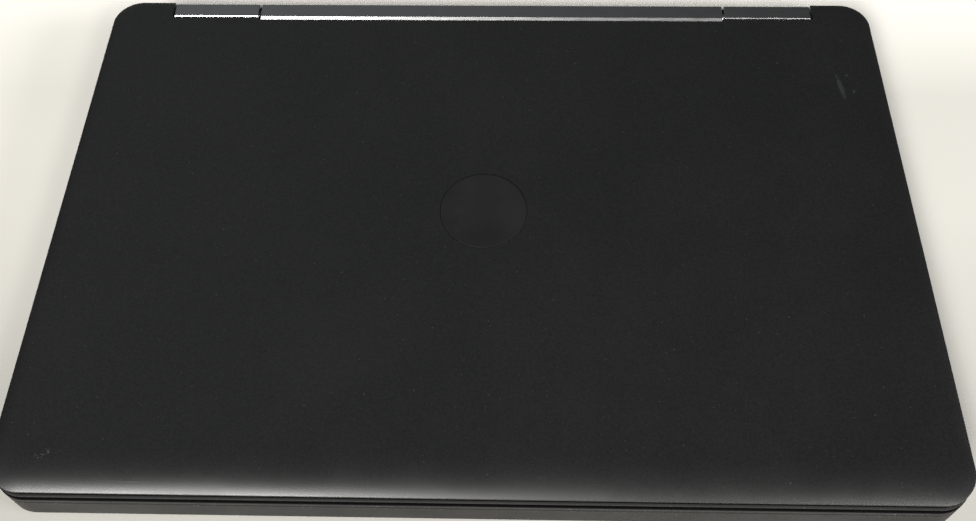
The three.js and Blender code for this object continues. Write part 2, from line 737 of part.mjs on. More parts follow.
// A run of keys in one row, from a left edge, each a width in key units.
function keyRun(left, y, widths, unit = KEY.unit, depth = KEY.unit) {
  let x = left;
  return widths.map((width) => {
    const key = [x, y, width * unit, depth];
    x += width * unit;
    return key;
  });
}

function keyboardBlocks() {
  const u = KEY.unit;
  const { left, back, functionRow, padLeft, padUnit } = KEYBOARD;
  const row = (n) => back - functionRow - n * u; // front edge of row n, 1 nearest the screen
  const at = (units) => left + units * u;
  const run = (n, from, widths) => keyRun(at(from), row(n), widths);
  const ones = (count) => Array(count).fill(1);
  const functionUnit = (15 * u) / 16;
  const pad = (n, column, wide = 1, high = 1) => [
    padLeft + column * padUnit,
    row(n),
    wide * padUnit,
    high * u,
  ];
  const padKeys = [
    ...keyRun(padLeft, back - functionRow, ones(4), padUnit, functionRow),
    ...[0, 1, 2, 3].map((column) => pad(1, column)),
    ...[2, 3, 4].flatMap((n) => [0, 1, 2].map((column) => pad(n, column))),
    pad(3, 3, 1, 2),
    pad(5, 3, 1, 2),
    pad(5, 0, 2),
    pad(5, 2),
  ];
  const arrowLeft = at(12);
  const arrows = [
    [arrowLeft, row(5), u, u / 2],
    [arrowLeft + u, row(5), u, u / 2],
    [arrowLeft + 2 * u, row(5), u, u / 2],
    [arrowLeft + u, row(5) + u / 2, u, u / 2],
  ];
  const topRow = back - functionRow;
  return {
    function_keys: keyRun(left, topRow, ones(16), functionUnit, functionRow),
    number_keys: run(1, 0, ones(13)),
    backspace_key: run(1, 13, [2]),
    tab_key: run(2, 0, [1.5]),
    upper_letter_keys: run(2, 1.5, [...ones(12), 1.5]),
    caps_lock_key: run(3, 0, [1.75]),
    home_letter_keys: run(3, 1.75, ones(11)),
    enter_key: run(3, 12.75, [2.25]),
    left_shift_key: run(4, 0, [2.25]),
    lower_letter_keys: run(4, 2.25, ones(10)),
    right_shift_key: run(4, 12.25, [2.75]),
    left_modifier_keys: run(5, 0, [1.25, 1, 1, 1.25]),
    space_bar: run(5, 4.5, [5.25]),
    right_modifier_keys: run(5, 9.75, [1, 1.25]),
    arrow_keys: arrows,
    numeric_pad_keys: padKeys,
  };
}

// ---------------------------------------------------------------- assembly
addPiece(lid, "lid_cover", lidCover(), material.lid);
addPiece(lid, "lid_badge", lidBadge(), material.badge);
addPiece(lid, "screen_bezel", screenBezel(), material.plastic);
addPiece(lid, "lcd_panel", lcdPanel(), material.screen);
addPiece(lid, "webcam_module", webcamModule(), material.board);
addPiece(lid, "hinge_barrel", hingeBarrel(), material.silver);
addPiece(lid, "right_hinge_arm", hingeArm(), material.steel);
addPiece(lid, "left_hinge_arm", mirrorX(hingeArm()), material.steel);

addPiece(base, "bottom_case", bottomCase(), material.plastic);
addPiece(base, "top_case", topCase(), material.deck);
addPiece(base, "access_cover", accessCover(), material.plastic);
addPiece(base, "right_hinge_cap", hingeCap(), material.silver);
addPiece(base, "left_hinge_cap", mirrorX(hingeCap()), material.silver);
addPiece(base, "right_hinge_mount", hingeMount(), material.steel);
addPiece(base, "left_hinge_mount", mirrorX(hingeMount()), material.steel);
addPiece(base, "keyboard_plate", keyboardPlate(), material.aluminium);
addPiece(base, "touchpad", touchpad(), material.deck);
addPiece(base, "touchpad_left_button", padButton(-1), material.keys);
addPiece(base, "touchpad_right_button", padButton(1), material.keys);
addPiece(base, "power_button", rodZ(6.2, DECK - 2.4, DECK, ...POWER_BUTTON, 24), material.silver);
for (const [name, x] of Object.entries(MEDIA_BUTTONS))
  addPiece(base, name, mediaButton(x, 0, DECK - 2.4, DECK), material.keys);

addPiece(base, "battery_pack", batteryPack(), material.plastic);
addPiece(base, "battery_latch", batteryLatch(), material.keys);
addPiece(base, "motherboard", motherboard(), material.board);
addPiece(base, "heatsink", heatsink(), material.copper);
addPiece(base, "fan_housing", fanHousing(), material.plastic);
addPiece(base, "fan_rotor", fanRotor(), material.plastic);
addPiece(base, "optical_drive_case", opticalDriveCase(), material.steel);
addPiece(base, "optical_tray", opticalTray(), material.plastic);
addPiece(base, "eject_button", ejectButton(0, 187.6), material.keys);
addPiece(base, "hard_drive", hardDrive(), material.aluminium);
addPiece(base, "memory_module", memoryModule(), material.board);
addPiece(base, "network_socket", networkSocket(), material.steel);
addPiece(base, "audio_board", audioBoard(), material.board);
addPiece(base, "left_speaker", speaker(-124), material.plastic);
addPiece(base, "right_speaker", speaker(124), material.plastic);
addPiece(base, "left_cover_screw", captiveScrew(...SCREWS[0]), material.steel);
addPiece(base, "right_cover_screw", captiveScrew(...SCREWS[1]), material.steel);
const footNames = ["front_left_foot", "front_right_foot", "rear_left_foot", "rear_right_foot"];
FEET.forEach(([x, y], i) =>
  addPiece(base, footNames[i], foot(x, y, 0), material.rubber),
);

for (const [name, keys] of Object.entries(keyboardBlocks())) {
  const mesh = new THREE.Mesh(geometryOf(keyBlock(keys)), material.keys);
  mesh.name = name;
  keyboard.add(mesh);
}

export default laptop;
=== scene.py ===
"""A closed 15.6-inch business laptop on a pale table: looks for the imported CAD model.

Shapes are written in millimetres and turned into metres when a mesh is made. The frame is the CAD
frame: +X is the user's right, -Y the front edge, +Z up, and the origin is on the table.
"""

import math

import bmesh
import bpy
from mathutils import Matrix, Vector


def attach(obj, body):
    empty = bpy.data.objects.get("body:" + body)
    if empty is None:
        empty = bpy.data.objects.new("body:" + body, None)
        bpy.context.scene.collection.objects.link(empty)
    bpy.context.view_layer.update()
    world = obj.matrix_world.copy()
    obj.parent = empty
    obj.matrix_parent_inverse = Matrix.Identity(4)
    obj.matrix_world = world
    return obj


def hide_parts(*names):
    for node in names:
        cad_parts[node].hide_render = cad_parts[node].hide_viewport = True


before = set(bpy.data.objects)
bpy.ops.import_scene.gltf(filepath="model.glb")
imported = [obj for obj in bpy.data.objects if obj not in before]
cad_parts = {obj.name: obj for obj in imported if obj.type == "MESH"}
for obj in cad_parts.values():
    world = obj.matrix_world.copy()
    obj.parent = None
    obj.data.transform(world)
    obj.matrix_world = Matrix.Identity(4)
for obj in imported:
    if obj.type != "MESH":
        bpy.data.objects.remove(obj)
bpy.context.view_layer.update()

MM = 0.001

# ------------------------------------------------------------------ sizes in millimetres
WIDTH = 379.0
DEPTH = 250.5
HEIGHT = 30.0
CORNER = 14.0
CORNER_STEPS = 24
FIT = 0.3
WALL = 1.8
BASE_BOTTOM = 2.0
SPLIT = 16.5
DECK = 20.6
DECK_STEP = 18.9
BEZEL_FACE = 21.4
BEZEL_TOP = 24.3
LID_INSET = 0.7
BEZEL_INSET = 0.35
HINGE_Y = 120.35
HINGE_Z = 24.3
STRIP_HALF = 4.85
STRIP_ARC = 6.1
STRIP_END = 0.3
TROUGH = 6.7
BARREL_END = 116.2
CAP_X = (117.2, 160.0)
NOTCH_END = 160.6
STRIP_SHIFT = 0.9
BADGE_RADIUS = 19.0
BADGE_Y = 1.5
SCREEN = (-172.4, 172.4, -105.2, 89.2)
KEY_OPENING = (-177.4, 177.4, -14.4, 92.6)
PAD_RIB = (102.7, 105.7)
TOUCHPAD = (-92.0, 8.0, -92.0, -38.0)
PAD_BUTTON_Y = (-110.0, -93.4)
COVER = (-176.0, 52.0, -104.0, 58.0)
BATTERY = (-100.0, 100.0, 78.0, 125.1)
BATTERY_TOP = 13.4
DRIVE = (58.5, 186.0, -68.0, 60.0)
DRIVE_Z = (4.2, 13.9)
PANEL = (-180.0, 180.0, -115.5, 99.5)
WEBCAM_Y = -118.7
POWER = (158, 103.5)
MEDIA_Y = (101.3, 105.7)
MEDIA = {"volume_down_button": -166, "volume_up_button": -153, "mute_button": -140}
CASE_SCREWS = ((-140, 72), (140, -112), (70, -112), (-70, -112), (110, 72), (150, 90), (-150, 90))


def add_object(name, data):
    """A new object in the scene."""
    made = bpy.data.objects.new(name, data)
    bpy.context.scene.collection.objects.link(made)
    return made


# ------------------------------------------------------------------ camera
def make_camera():
    """The camera that sees the laptop as it was photographed: above the front edge, looking down."""
    yaw = 0.0413
    pitch = 0.9546
    roll = -0.0265
    position = (0.01326, -0.25403, 0.44207)
    right = Vector((math.cos(yaw), math.sin(yaw), 0))
    level_part = math.cos(pitch)
    forward = Vector((-math.sin(yaw) * level_part, math.cos(yaw) * level_part, -math.sin(pitch)))
    up = right.cross(forward)
    x_axis = math.cos(roll) * right + math.sin(roll) * up
    y_axis = math.cos(roll) * up - math.sin(roll) * right
    data = bpy.data.cameras.new("camera")
    data.sensor_width = 36.0
    data.lens = 40.47
    data.shift_y = -0.12
    data.clip_start = 0.01
    data.clip_end = 50.0
    camera = add_object("camera", data)
    turn = Matrix((x_axis, y_axis, -forward)).transposed().to_4x4()
    camera.matrix_world = Matrix.Translation(position) @ turn
    bpy.context.scene.camera = camera


make_camera()


# ------------------------------------------------------------------ mesh tools
def link_mesh(name, bm):
    """A new object from a bmesh in millimetres."""
    bmesh.ops.recalc_face_normals(bm, faces=bm.faces)
    bmesh.ops.scale(bm, vec=(MM, MM, MM), verts=bm.verts)
    return mesh_object(name, bm)


def mesh_object(name, bm):
    """A new object from a bmesh in metres, which is used up."""
    mesh = bpy.data.meshes.new(name)
    bm.to_mesh(mesh)
    bm.free()
    return add_object(name, mesh)


def rounded(x0, x1, y0, y1, radius, steps=12):
    """Points of a rounded rectangle, anticlockwise."""
    points = []
    corners = ((x1, y0, -90), (x1, y1, 0), (x0, y1, 90), (x0, y0, 180))
    for x, y, start in corners:
        cx = x - radius if x == x1 else x + radius
        cy = y - radius if y == y1 else y + radius
        for i in range(steps + 1):
            angle = math.radians(start + 90 * i / steps)
            points.append((cx + radius * math.cos(angle), cy + radius * math.sin(angle)))
    return points


def outline(inset):
    """The laptop's own outline, moved in by inset."""
    x, y = WIDTH / 2 - inset, DEPTH / 2 - inset
    return rounded(-x, x, -y, y, max(CORNER - inset, 2.0), CORNER_STEPS)


def drawn_in(edges, inset):
    """The edges x0, x1, y0, y1 moved in by inset, or out where it is negative."""
    x0, x1, y0, y1 = edges
    return x0 + inset, x1 - inset, y0 + inset, y1 - inset


def circle(radius, sides):
    """Points of a circle about the origin, anticlockwise."""
    angles = [2 * math.pi * i / sides for i in range(sides)]
    return [(radius * math.cos(angle), radius * math.sin(angle)) for angle in angles]


def add_loft(bm, rings):
    """Adds a closed skin through rings of equal length, with flat ends."""
    loops = [[bm.verts.new(point) for point in ring] for ring in rings]
    count = len(loops[0])
    for low, high in zip(loops, loops[1:]):
        for i in range(count):
            j = (i + 1) % count
            bm.faces.new((low[i], low[j], high[j], high[i]))
    bm.faces.new(list(reversed(loops[0])))
    bm.faces.new(loops[-1])


def loft(name, rings):
    """An object with one closed skin through the rings."""
    bm = bmesh.new()
    add_loft(bm, rings)
    return link_mesh(name, bm)


def level(points, z):
    """A flat ring at one height."""
    return [(x, y, z) for x, y in points]


def outline_loft(name, rows):
    """A loft through the laptop's outline. Each row holds its inset and its height."""
    return loft(name, [level(outline(inset), z) for inset, z in rows])


def plate(name, edges, steps, rows):
    """A loft through rounded rectangles. Each row holds its inset, corner radius and height."""
    return loft(
        name,
        [level(rounded(*drawn_in(edges, inset), radius, steps), z) for inset, radius, z in rows],
    )


def turned(name, x, y, sides, profile):
    """A round body about an upright line. Each row of the profile is a radius and a height."""
    return loft(name, [[(x + a, y + b, z) for a, b in circle(r, sides)] for r, z in profile])


def prism(name, points, z0, z1):
    """An outline carried straight up from one height to another."""
    return loft(name, [level(points, z0), level(points, z1)])


def box(x0, x1, y0, y1, z0, z1, name="box"):
    return prism(name, [(x0, y0), (x1, y0), (x1, y1), (x0, y1)], z0, z1)


def rod(axis, radius, start, end, centre, sides=48, name="rod"):
    """A cylinder along an axis. centre holds the other two coordinates, in X, Y, Z order."""
    ring = circle(radius, sides)
    point = {
        "x": lambda a, b, along: (along, centre[0] + a, centre[1] + b),
        "y": lambda a, b, along: (centre[0] + a, along, centre[1] + b),
        "z": lambda a, b, along: (centre[0] + a, centre[1] + b, along),
    }[axis]
    return loft(name, [[point(a, b, along) for a, b in ring] for along in (start, end)])


def along_x(name, section, x0, x1):
    """A section in the Y-Z plane pushed along X, its ends drawn in a little round the hinge axis."""
    steps = ((0.0, 1.0), (0.35, 0.35), (1.0, 0.0))
    ends = [(x0 + share * STRIP_END, draw) for share, draw in steps]
    ends += [(x1 - share * STRIP_END, draw) for share, draw in reversed(steps)]
    rings = []
    for x, draw in ends:
        scale = 1 - draw * STRIP_END / STRIP_ARC
        rings.append([(x, mix(HINGE_Y, y, scale), mix(HINGE_Z, z, scale)) for y, z in section])
    return loft(name, rings)


def mix(a, b, share):
    """The value that lies a share of the way from a to b."""
    return a + (b - a) * share


def join(objects, name="joined"):
    """One object from several, which are used up."""
    first = objects[0]
    bm = bmesh.new()
    for made in objects:
        bm.from_mesh(made.data)
    bm.to_mesh(first.data)
    bm.free()
    for made in objects[1:]:
        bpy.data.objects.remove(made)
    first.name = name
    first.data.name = name
    return first


def boolean(target, tool, operation):
    """Applies one exact boolean and uses up the tool."""
    modifier = target.modifiers.new("boolean", "BOOLEAN")
    modifier.operation = operation
    modifier.solver = "EXACT"
    modifier.use_self = True
    modifier.object = tool
    graph = bpy.context.evaluated_depsgraph_get()
    mesh = bpy.data.meshes.new_from_object(target.evaluated_get(graph))
    target.modifiers.clear()
    target.data = mesh
    bpy.data.objects.remove(tool)
    return target


def cut(target, tools):
    """Takes the tools away from the target in one step."""
    return boolean(target, join(tools), "DIFFERENCE")


def unite(target, tools):
    """Adds the tools to the target in one step."""
    return boolean(target, join(tools), "UNION")


def soften(made, width, segments=2, angle=40):
    """Small rounded edges and smooth shading between them."""
    mesh = made.data
    mesh.polygons.foreach_set("use_smooth", [True] * len(mesh.polygons))
    bevel = made.modifiers.new("bevel", "BEVEL")
    bevel.width = width * MM
    bevel.segments = segments
    bevel.limit_method = "ANGLE"
    bevel.angle_limit = math.radians(angle)
    bevel.use_clamp_overlap = True
    bevel.harden_normals = True
    weighted = made.modifiers.new("normals", "WEIGHTED_NORMAL")
    weighted.keep_sharp = True
    return made


def smooth(made, angle):
    """Smooth shading, with sharp edges where the surface turns by more than angle degrees."""
    mesh = made.data
    mesh.polygons.foreach_set("use_smooth", [True] * len(mesh.polygons))
    mesh.set_sharp_from_angle(angle=math.radians(angle))
    return made


def place(made, body, finish, slot, *nodes):
    """Gives a piece its look and its body, and hides the CAD nodes it stands for. slot is not used.
    """
    made.data.materials.clear()
    made.data.materials.append(look[finish])
    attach(made, body)
    if nodes:
        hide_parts(*nodes)
    return made


# ------------------------------------------------------------------ materials
RANGE_SOCKETS = ("From Min", "From Max", "To Min", "To Max")


class Shader:
    """A Principled material with short calls for the nodes that feed it."""

    def __init__(self, name, color, roughness, metallic=0.0, specular=0.5):
        self.material = bpy.data.materials.new(name)
        self.material.use_nodes = True
        self.tree = self.material.node_tree
        self.shader = self.tree.nodes["Principled BSDF"]
        self.shader.inputs["Base Color"].default_value = (*color, 1)
        self.shader.inputs["Roughness"].default_value = roughness
        self.shader.inputs["Metallic"].default_value = metallic
        self.shader.inputs["Specular IOR Level"].default_value = specular
        self.coordinates = self.tree.nodes.new("ShaderNodeTexCoord").outputs["Object"]
        self.normal = None

    @classmethod
    def of(cls, material):
        """Calls for a material that is already made."""
        made = cls.__new__(cls)
        made.material = material
        made.tree = material.node_tree
        made.shader = made.tree.nodes["Principled BSDF"]
        made.coordinates = made.tree.nodes["Texture Coordinate"].outputs["Object"]
        return made

    def link(self, source, target):
        """Joins an output to an input."""
        self.tree.links.new(source, target)

    def node(self, kind, **values):
        """A new node with some of its properties set."""
        made = self.tree.nodes.new(kind)
        for key, value in values.items():
            setattr(made, key, value)
        return made

    def stretch(self, scale, turn=0):
        """Coordinates scaled per axis and turned about Z, for grain that runs one way."""
        mapping = self.node("ShaderNodeMapping")
        mapping.inputs["Rotation"].default_value = (0, 0, math.radians(turn))
        mapping.inputs["Scale"].default_value = scale
        self.link(self.coordinates, mapping.inputs["Vector"])
        return mapping.outputs["Vector"]

    def noise(self, size_mm, detail=2.0, rough=0.5, at=None):
        """Noise with features of about the given size. Its value runs about 0.3 to 0.7."""
        noise = self.node("ShaderNodeTexNoise")
        noise.inputs["Scale"].default_value = 1 / (size_mm * MM)
        noise.inputs["Detail"].default_value = detail
        noise.inputs["Roughness"].default_value = rough
        self.link(at or self.coordinates, noise.inputs["Vector"])
        return noise.outputs["Fac"]

    def ramp(self, value, low, high, out_low=0.0, out_high=1.0):
        """value from low..high to out_low..out_high, clamped."""
        mapped = self.node("ShaderNodeMapRange")
        for key, number in zip(RANGE_SOCKETS, (low, high, out_low, out_high)):
            mapped.inputs[key].default_value = number
        self.link(value, mapped.inputs["Value"])
        return mapped.outputs["Result"]

    def band(self, value, low, high, edge):
        """1 between two heights in millimetres and 0 outside, changing over edge at each end."""
        rise = self.ramp(value, low * MM, (low + edge) * MM)
        fall = self.ramp(value, (high - edge) * MM, high * MM, 1, 0)
        return self.maths("MULTIPLY", rise, fall)

    def maths(self, operation, a, b):
        """One sum of two values, each a number or an output."""
        made = self.node("ShaderNodeMath", operation=operation)
        for socket, value in zip(made.inputs, (a, b)):
            if isinstance(value, (int, float)):
                socket.default_value = value
            else:
                self.link(value, socket)
        return made.outputs["Value"]

    def tint(self, factor, color):
        """Mixes a colour over the base colour by a factor."""
        mix = self.node("ShaderNodeMix", data_type="RGBA")
        base = self.shader.inputs["Base Color"]
        if base.is_linked:
            self.link(base.links[0].from_socket, mix.inputs["A"])
        else:
            mix.inputs["A"].default_value = base.default_value
        mix.inputs["B"].default_value = (*color, 1)
        self.link(factor, mix.inputs["Factor"])
        self.link(mix.outputs["Result"], base)
        return self

    def mottle(self, noise, low, high, amount, color):
        """Mixes a colour in by up to amount, as the noise goes from low to high."""
        return self.tint(self.ramp(noise, low, high, 0, amount), color)

    def set_roughness(self, value):
        """Takes the roughness from an output."""
        self.link(value, self.shader.inputs["Roughness"])
        return self

    def dull(self, factor):
        """Raises the roughness towards 0.9 by a factor."""
        socket = self.shader.inputs["Roughness"]
        before = socket.links[0].from_socket
        added = self.maths("MULTIPLY", self.maths("SUBTRACT", 0.9, before), factor)
        return self.set_roughness(self.maths("ADD", before, added))

    def bump(self, height, depth_mm, strength=1.0):
        """Adds relief of the given depth on top of any that is there."""
        bump = self.node("ShaderNodeBump")
        bump.inputs["Strength"].default_value = strength
        bump.inputs["Distance"].default_value = depth_mm * MM
        self.link(height, bump.inputs["Height"])
        if self.normal:
            self.link(self.normal, bump.inputs["Normal"])
        self.normal = bump.outputs["Normal"]
        self.link(self.normal, self.shader.inputs["Normal"])
        return self

    def position(self, axis):
        """One coordinate of the point, in metres."""
        split = self.node("ShaderNodeSeparateXYZ")
        self.link(self.coordinates, split.inputs["Vector"])
        return split.outputs[axis]


def moulded(name, color, roughness, grain_mm=0.35, depth_mm=0.012, dust=0.25):
    """Moulded plastic: spark-eroded grain, slow tone changes and a little dust."""
    s = Shader(name, color, roughness)
    light = tuple(min(1.0, c * 1.5 + 0.004) for c in color)
    dark = tuple(c * 0.72 for c in color)
    s.mottle(s.noise(55, 3), 0.42, 0.66, 0.5, light)
    s.mottle(s.noise(9, 4), 0.5, 0.75, 0.35, dark)
    s.mottle(s.noise(0.9, 1, 0.4), 0.735, 0.76, dust, (0.22, 0.21, 0.19))
    tone = s.ramp(s.noise(30, 4), 0.35, 0.65, roughness - 0.05, roughness + 0.06)
    s.set_roughness(tone)
    s.bump(s.noise(grain_mm, 2, 0.6), depth_mm)
    return s.material


def side_layers(name, color, roughness, seam_shadows, worn):
    """Moulded plastic with painted shade in its side gaps and pale worn specks along one edge.

    Both arguments hold height ranges: the gaps that get painted shade, and the worn band.
    """
    material = moulded(name, color, roughness)
    s = Shader.of(material)
    s.shader.inputs["Specular IOR Level"].default_value = 0.3
    height = s.position("Z")
    # Painted shade: each gap band is tinted near-black and dulled, standing for the shadow between
    # parts.
    for low, high in seam_shadows:
        inside = s.band(height, low - 0.15, high + 0.15, 0.3)
        s.tint(s.maths("MULTIPLY", inside, 0.92), (0.0015, 0.0015, 0.0015))
        s.dull(inside)
    band = s.band(height, *worn, 0.2)
    chips = s.ramp(s.noise(0.55, 3, 0.7), 0.6, 0.68, 0, 0.75)
    patches = s.ramp(s.noise(22, 2), 0.45, 0.6, 0.15, 1.0)
    s.tint(s.maths("MULTIPLY", s.maths("MULTIPLY", band, chips), patches), (0.33, 0.33, 0.32))
    return material


def metal(name, color, roughness, brush=(1, 1, 1), grain_mm=0.25, depth_mm=0.004, tarnish=None):
    """Metal with a fine finish. brush stretches the grain along the axes with small numbers."""
    s = Shader(name, color, roughness, metallic=1.0)
    grain = s.noise(grain_mm, 2, 0.6, at=s.stretch(brush))
    s.tint(s.ramp(grain, 0.35, 0.7, 0, 0.25), tuple(c * 0.7 for c in color))
    if tarnish:
        s.mottle(s.noise(12, 4), 0.5, 0.7, 0.5, tarnish)
    s.set_roughness(s.ramp(s.noise(14, 3), 0.35, 0.65, roughness - 0.05, roughness + 0.08))
    s.bump(grain, depth_mm)
    return s.material


def lid_paint():
    """Matte lid paint: fine grain, faint handling marks, two thin scratches and one scuff."""
    s = Shader("lid_paint", (0.0078, 0.0085, 0.0081), 0.4, specular=0.5)
    s.mottle(s.noise(80, 3), 0.4, 0.65, 0.35, (0.0088, 0.0095, 0.009))
    s.mottle(s.noise(0.9, 2, 0.7), 0.42, 0.62, 0.55, (0.0036, 0.0039, 0.0037))
    s.mottle(s.noise(1.1, 1, 0.4), 0.77, 0.785, 0.16, (0.12, 0.12, 0.115))
    smudge = scuff_mask(s, 168.0, 71.7, 1.3, 8.4, 8)
    high_fleck = scuff_mask(s, 171.9, 78.9, 0.9, 0.9)
    low_fleck = scuff_mask(s, 173.8, 69.2, 0.8, 1.1)
    nicks = s.ramp(s.noise(1.3, 3, 0.8, at=s.stretch((0.7, 1, 1))), 0.57, 0.63)
    corner = s.maths("MULTIPLY", scuff_mask(s, -168.1, -110.7, 4.2, 2.8, 20), nicks)
    marked = s.maths("ADD", smudge, s.maths("ADD", high_fleck, low_fleck))
    s.tint(s.maths("MULTIPLY", marked, 0.3), (0.046, 0.052, 0.053))
    s.tint(s.maths("MULTIPLY", corner, 0.5), (0.11, 0.11, 0.105))
    marks = s.ramp(s.noise(45, 5, 0.6), 0.4, 0.62, 0.32, 0.37)
    s.set_roughness(s.maths("SUBTRACT", marks, s.maths("MULTIPLY", marked, 0.08)))
    s.bump(s.noise(0.42, 2, 0.6), 0.013)
    s.bump(scratch_lines(s), 0.02, 0.3)
    return s.material


def scuff_mask(s, x_mm, y_mm, half_width, half_height, turn=0):
    """A ragged patch, 1 inside and 0 outside, turned anticlockwise by some degrees."""
    x = s.maths("SUBTRACT", s.position("X"), x_mm * MM)
    y = s.maths("SUBTRACT", s.position("Y"), y_mm * MM)
    cos, sin = math.cos(math.radians(turn)), math.sin(math.radians(turn))
    along = s.maths("ADD", s.maths("MULTIPLY", x, cos), s.maths("MULTIPLY", y, sin))
    across = s.maths("SUBTRACT", s.maths("MULTIPLY", y, cos), s.maths("MULTIPLY", x, sin))
    dx = s.maths("DIVIDE", along, half_width * MM)
    dy = s.maths("DIVIDE", across, half_height * MM)
    far = s.maths("ADD", s.maths("POWER", dx, 2.0), s.maths("POWER", dy, 2.0))
    ragged = s.maths("ADD", far, s.maths("MULTIPLY", s.noise(2.2, 4, 0.7), 2.2))
    return s.ramp(ragged, 1.4, 2.1, 1, 0)


def scratch_lines(s):
    """Sparse thin lines: noise stretched fifty times along one slanted direction."""
    return s.ramp(s.noise(0.9, 1, 0.3, at=s.stretch((0.02, 1, 1), 28)), 0.74, 0.78)


def silver_paint():
    """Satin silver trim: metallic flake and faint lengthwise polish."""
    s = Shader("silver_trim", (0.48, 0.482, 0.483), 0.25, metallic=1.0)
    flake = s.noise(0.22, 2, 0.7)
    s.tint(s.ramp(flake, 0.35, 0.72, 0, 0.3), (0.37, 0.372, 0.374))
    s.mottle(s.noise(9, 4), 0.55, 0.75, 0.1, (0.27, 0.27, 0.275))
    polish = s.noise(0.5, 2, 0.5, at=s.stretch((0.05, 1, 1)))
    s.set_roughness(s.ramp(polish, 0.35, 0.65, 0.23, 0.28))
    s.bump(flake, 0.002)
    return s.material


def screen_glass():
    """Switched-off anti-glare panel: a dark picture area with a very fine sparkle."""
    s = Shader("screen", (0.010, 0.0105, 0.013), 0.24, specular=0.5)
    s.mottle(s.noise(60, 2), 0.4, 0.7, 0.5, (0.014, 0.0145, 0.018))
    s.set_roughness(s.ramp(s.noise(0.3, 2), 0.35, 0.65, 0.2, 0.3))
    s.bump(s.noise(0.12, 1), 0.003)
    return s.material


def circuit_board_green():
    """Solder mask with tracks and solder pads."""
    s = Shader("circuit_board", (0.012, 0.085, 0.045), 0.38)
    cells = s.node("ShaderNodeTexBrick")
    cells.inputs["Scale"].default_value = 220
    cells.inputs["Color1"].default_value = (0.012, 0.085, 0.045, 1)
    cells.inputs["Color2"].default_value = (0.016, 0.12, 0.062, 1)
    cells.inputs["Mortar"].default_value = (0.03, 0.2, 0.1, 1)
    cells.inputs["Mortar Size"].default_value = 0.05
    s.link(s.coordinates, cells.inputs["Vector"])
    s.link(cells.outputs["Color"], s.shader.inputs["Base Color"])
    s.mottle(s.noise(1.6, 1), 0.68, 0.7, 0.8, (0.55, 0.55, 0.52))
    s.bump(cells.outputs["Fac"], 0.02, 0.5)
    return s.material


def rubber():
    """Foot rubber, a little dusty."""
    s = Shader("rubber", (0.012, 0.012, 0.012), 0.85, specular=0.3)
    s.mottle(s.noise(6, 4), 0.45, 0.7, 0.5, (0.035, 0.034, 0.032))
    s.bump(s.noise(0.3, 3, 0.7), 0.03)
    return s.material


def seam_shadow_black():
    """Dead black painted shade for the gaps between parts: no sheen, a little dust."""
    s = Shader("seam_shadow_black", (0.0015, 0.0015, 0.0015), 0.95, specular=0.05)
    s.mottle(s.noise(0.7, 3, 0.7), 0.6, 0.72, 0.2, (0.05, 0.05, 0.048))
    s.bump(s.noise(0.4, 3), 0.02)
    return s.material


def touch_surface():
    """Touchpad film: a fine regular dot texture."""
    s = Shader("touch_surface", (0.016, 0.016, 0.018), 0.5)
    dots = s.node("ShaderNodeTexVoronoi")
    dots.inputs["Scale"].default_value = 1 / (0.8 * MM)
    dots.inputs["Randomness"].default_value = 0.05
    s.link(s.coordinates, dots.inputs["Vector"])
    s.bump(s.ramp(dots.outputs["Distance"], 0.1, 0.4, 1, 0), 0.02)
    s.mottle(s.noise(25, 3), 0.4, 0.7, 0.5, (0.022, 0.022, 0.023))
    s.set_roughness(s.ramp(s.noise(18, 3), 0.4, 0.6, 0.4, 0.52))
    return s.material


def key_plastic():
    """Key caps: satin plastic, polished a little where fingers land."""
    s = Shader("key_plastic", (0.0135, 0.0135, 0.0145), 0.46)
    s.mottle(s.noise(16, 3), 0.45, 0.7, 0.5, (0.02, 0.02, 0.021))
    s.set_roughness(s.ramp(s.noise(13, 3), 0.38, 0.62, 0.36, 0.5))
    s.bump(s.noise(0.3, 2, 0.6), 0.008)
    return s.material


def legend_ink():
    """Pale ink of the key legends, worn thin in places."""
    s = Shader("legend_ink", (0.56, 0.57, 0.58), 0.6)
    s.mottle(s.noise(1.2, 3), 0.5, 0.75, 0.4, (0.34, 0.34, 0.34))
    return s.material


def lens_glass():
    """Coated lens: near-black with a faint violet bloom."""
    s = Shader("lens_glass", (0.006, 0.006, 0.012), 0.08, specular=0.8)
    s.mottle(s.noise(0.8, 2), 0.4, 0.7, 0.6, (0.02, 0.012, 0.03))
    return s.material


def table_top():
    """Pale table: a slightly warm laminate, with painted shade towards the front and painted light
    to the left-rear and at the far back.
    """
    s = Shader("table_top", (0.53, 0.518, 0.479), 0.55, specular=0.3)
    s.mottle(s.noise(260, 3), 0.35, 0.65, 0.5, (0.505, 0.494, 0.457))
    s.mottle(s.noise(2.5, 4), 0.5, 0.75, 0.12, (0.47, 0.46, 0.427))
    # Painted shade: darker towards the front.
    s.tint(s.ramp(s.position("Y"), 0.02, -0.17, 0, 0.9), (0.31, 0.303, 0.277))
    # Painted light: lighter to the left and behind the laptop.
    left = s.ramp(s.position("X"), 0.1, -0.2)
    behind = s.ramp(s.position("Y"), -0.1, 0.06)
    s.tint(s.maths("MULTIPLY", left, behind), (0.63, 0.615, 0.57))
    # Painted light: lighter again at the far back.
    s.tint(s.ramp(s.position("Y"), 0.09, 0.15, 0, 0.85), (0.76, 0.742, 0.69))
    s.bump(s.noise(1.2, 3), 0.01)
    return s.material


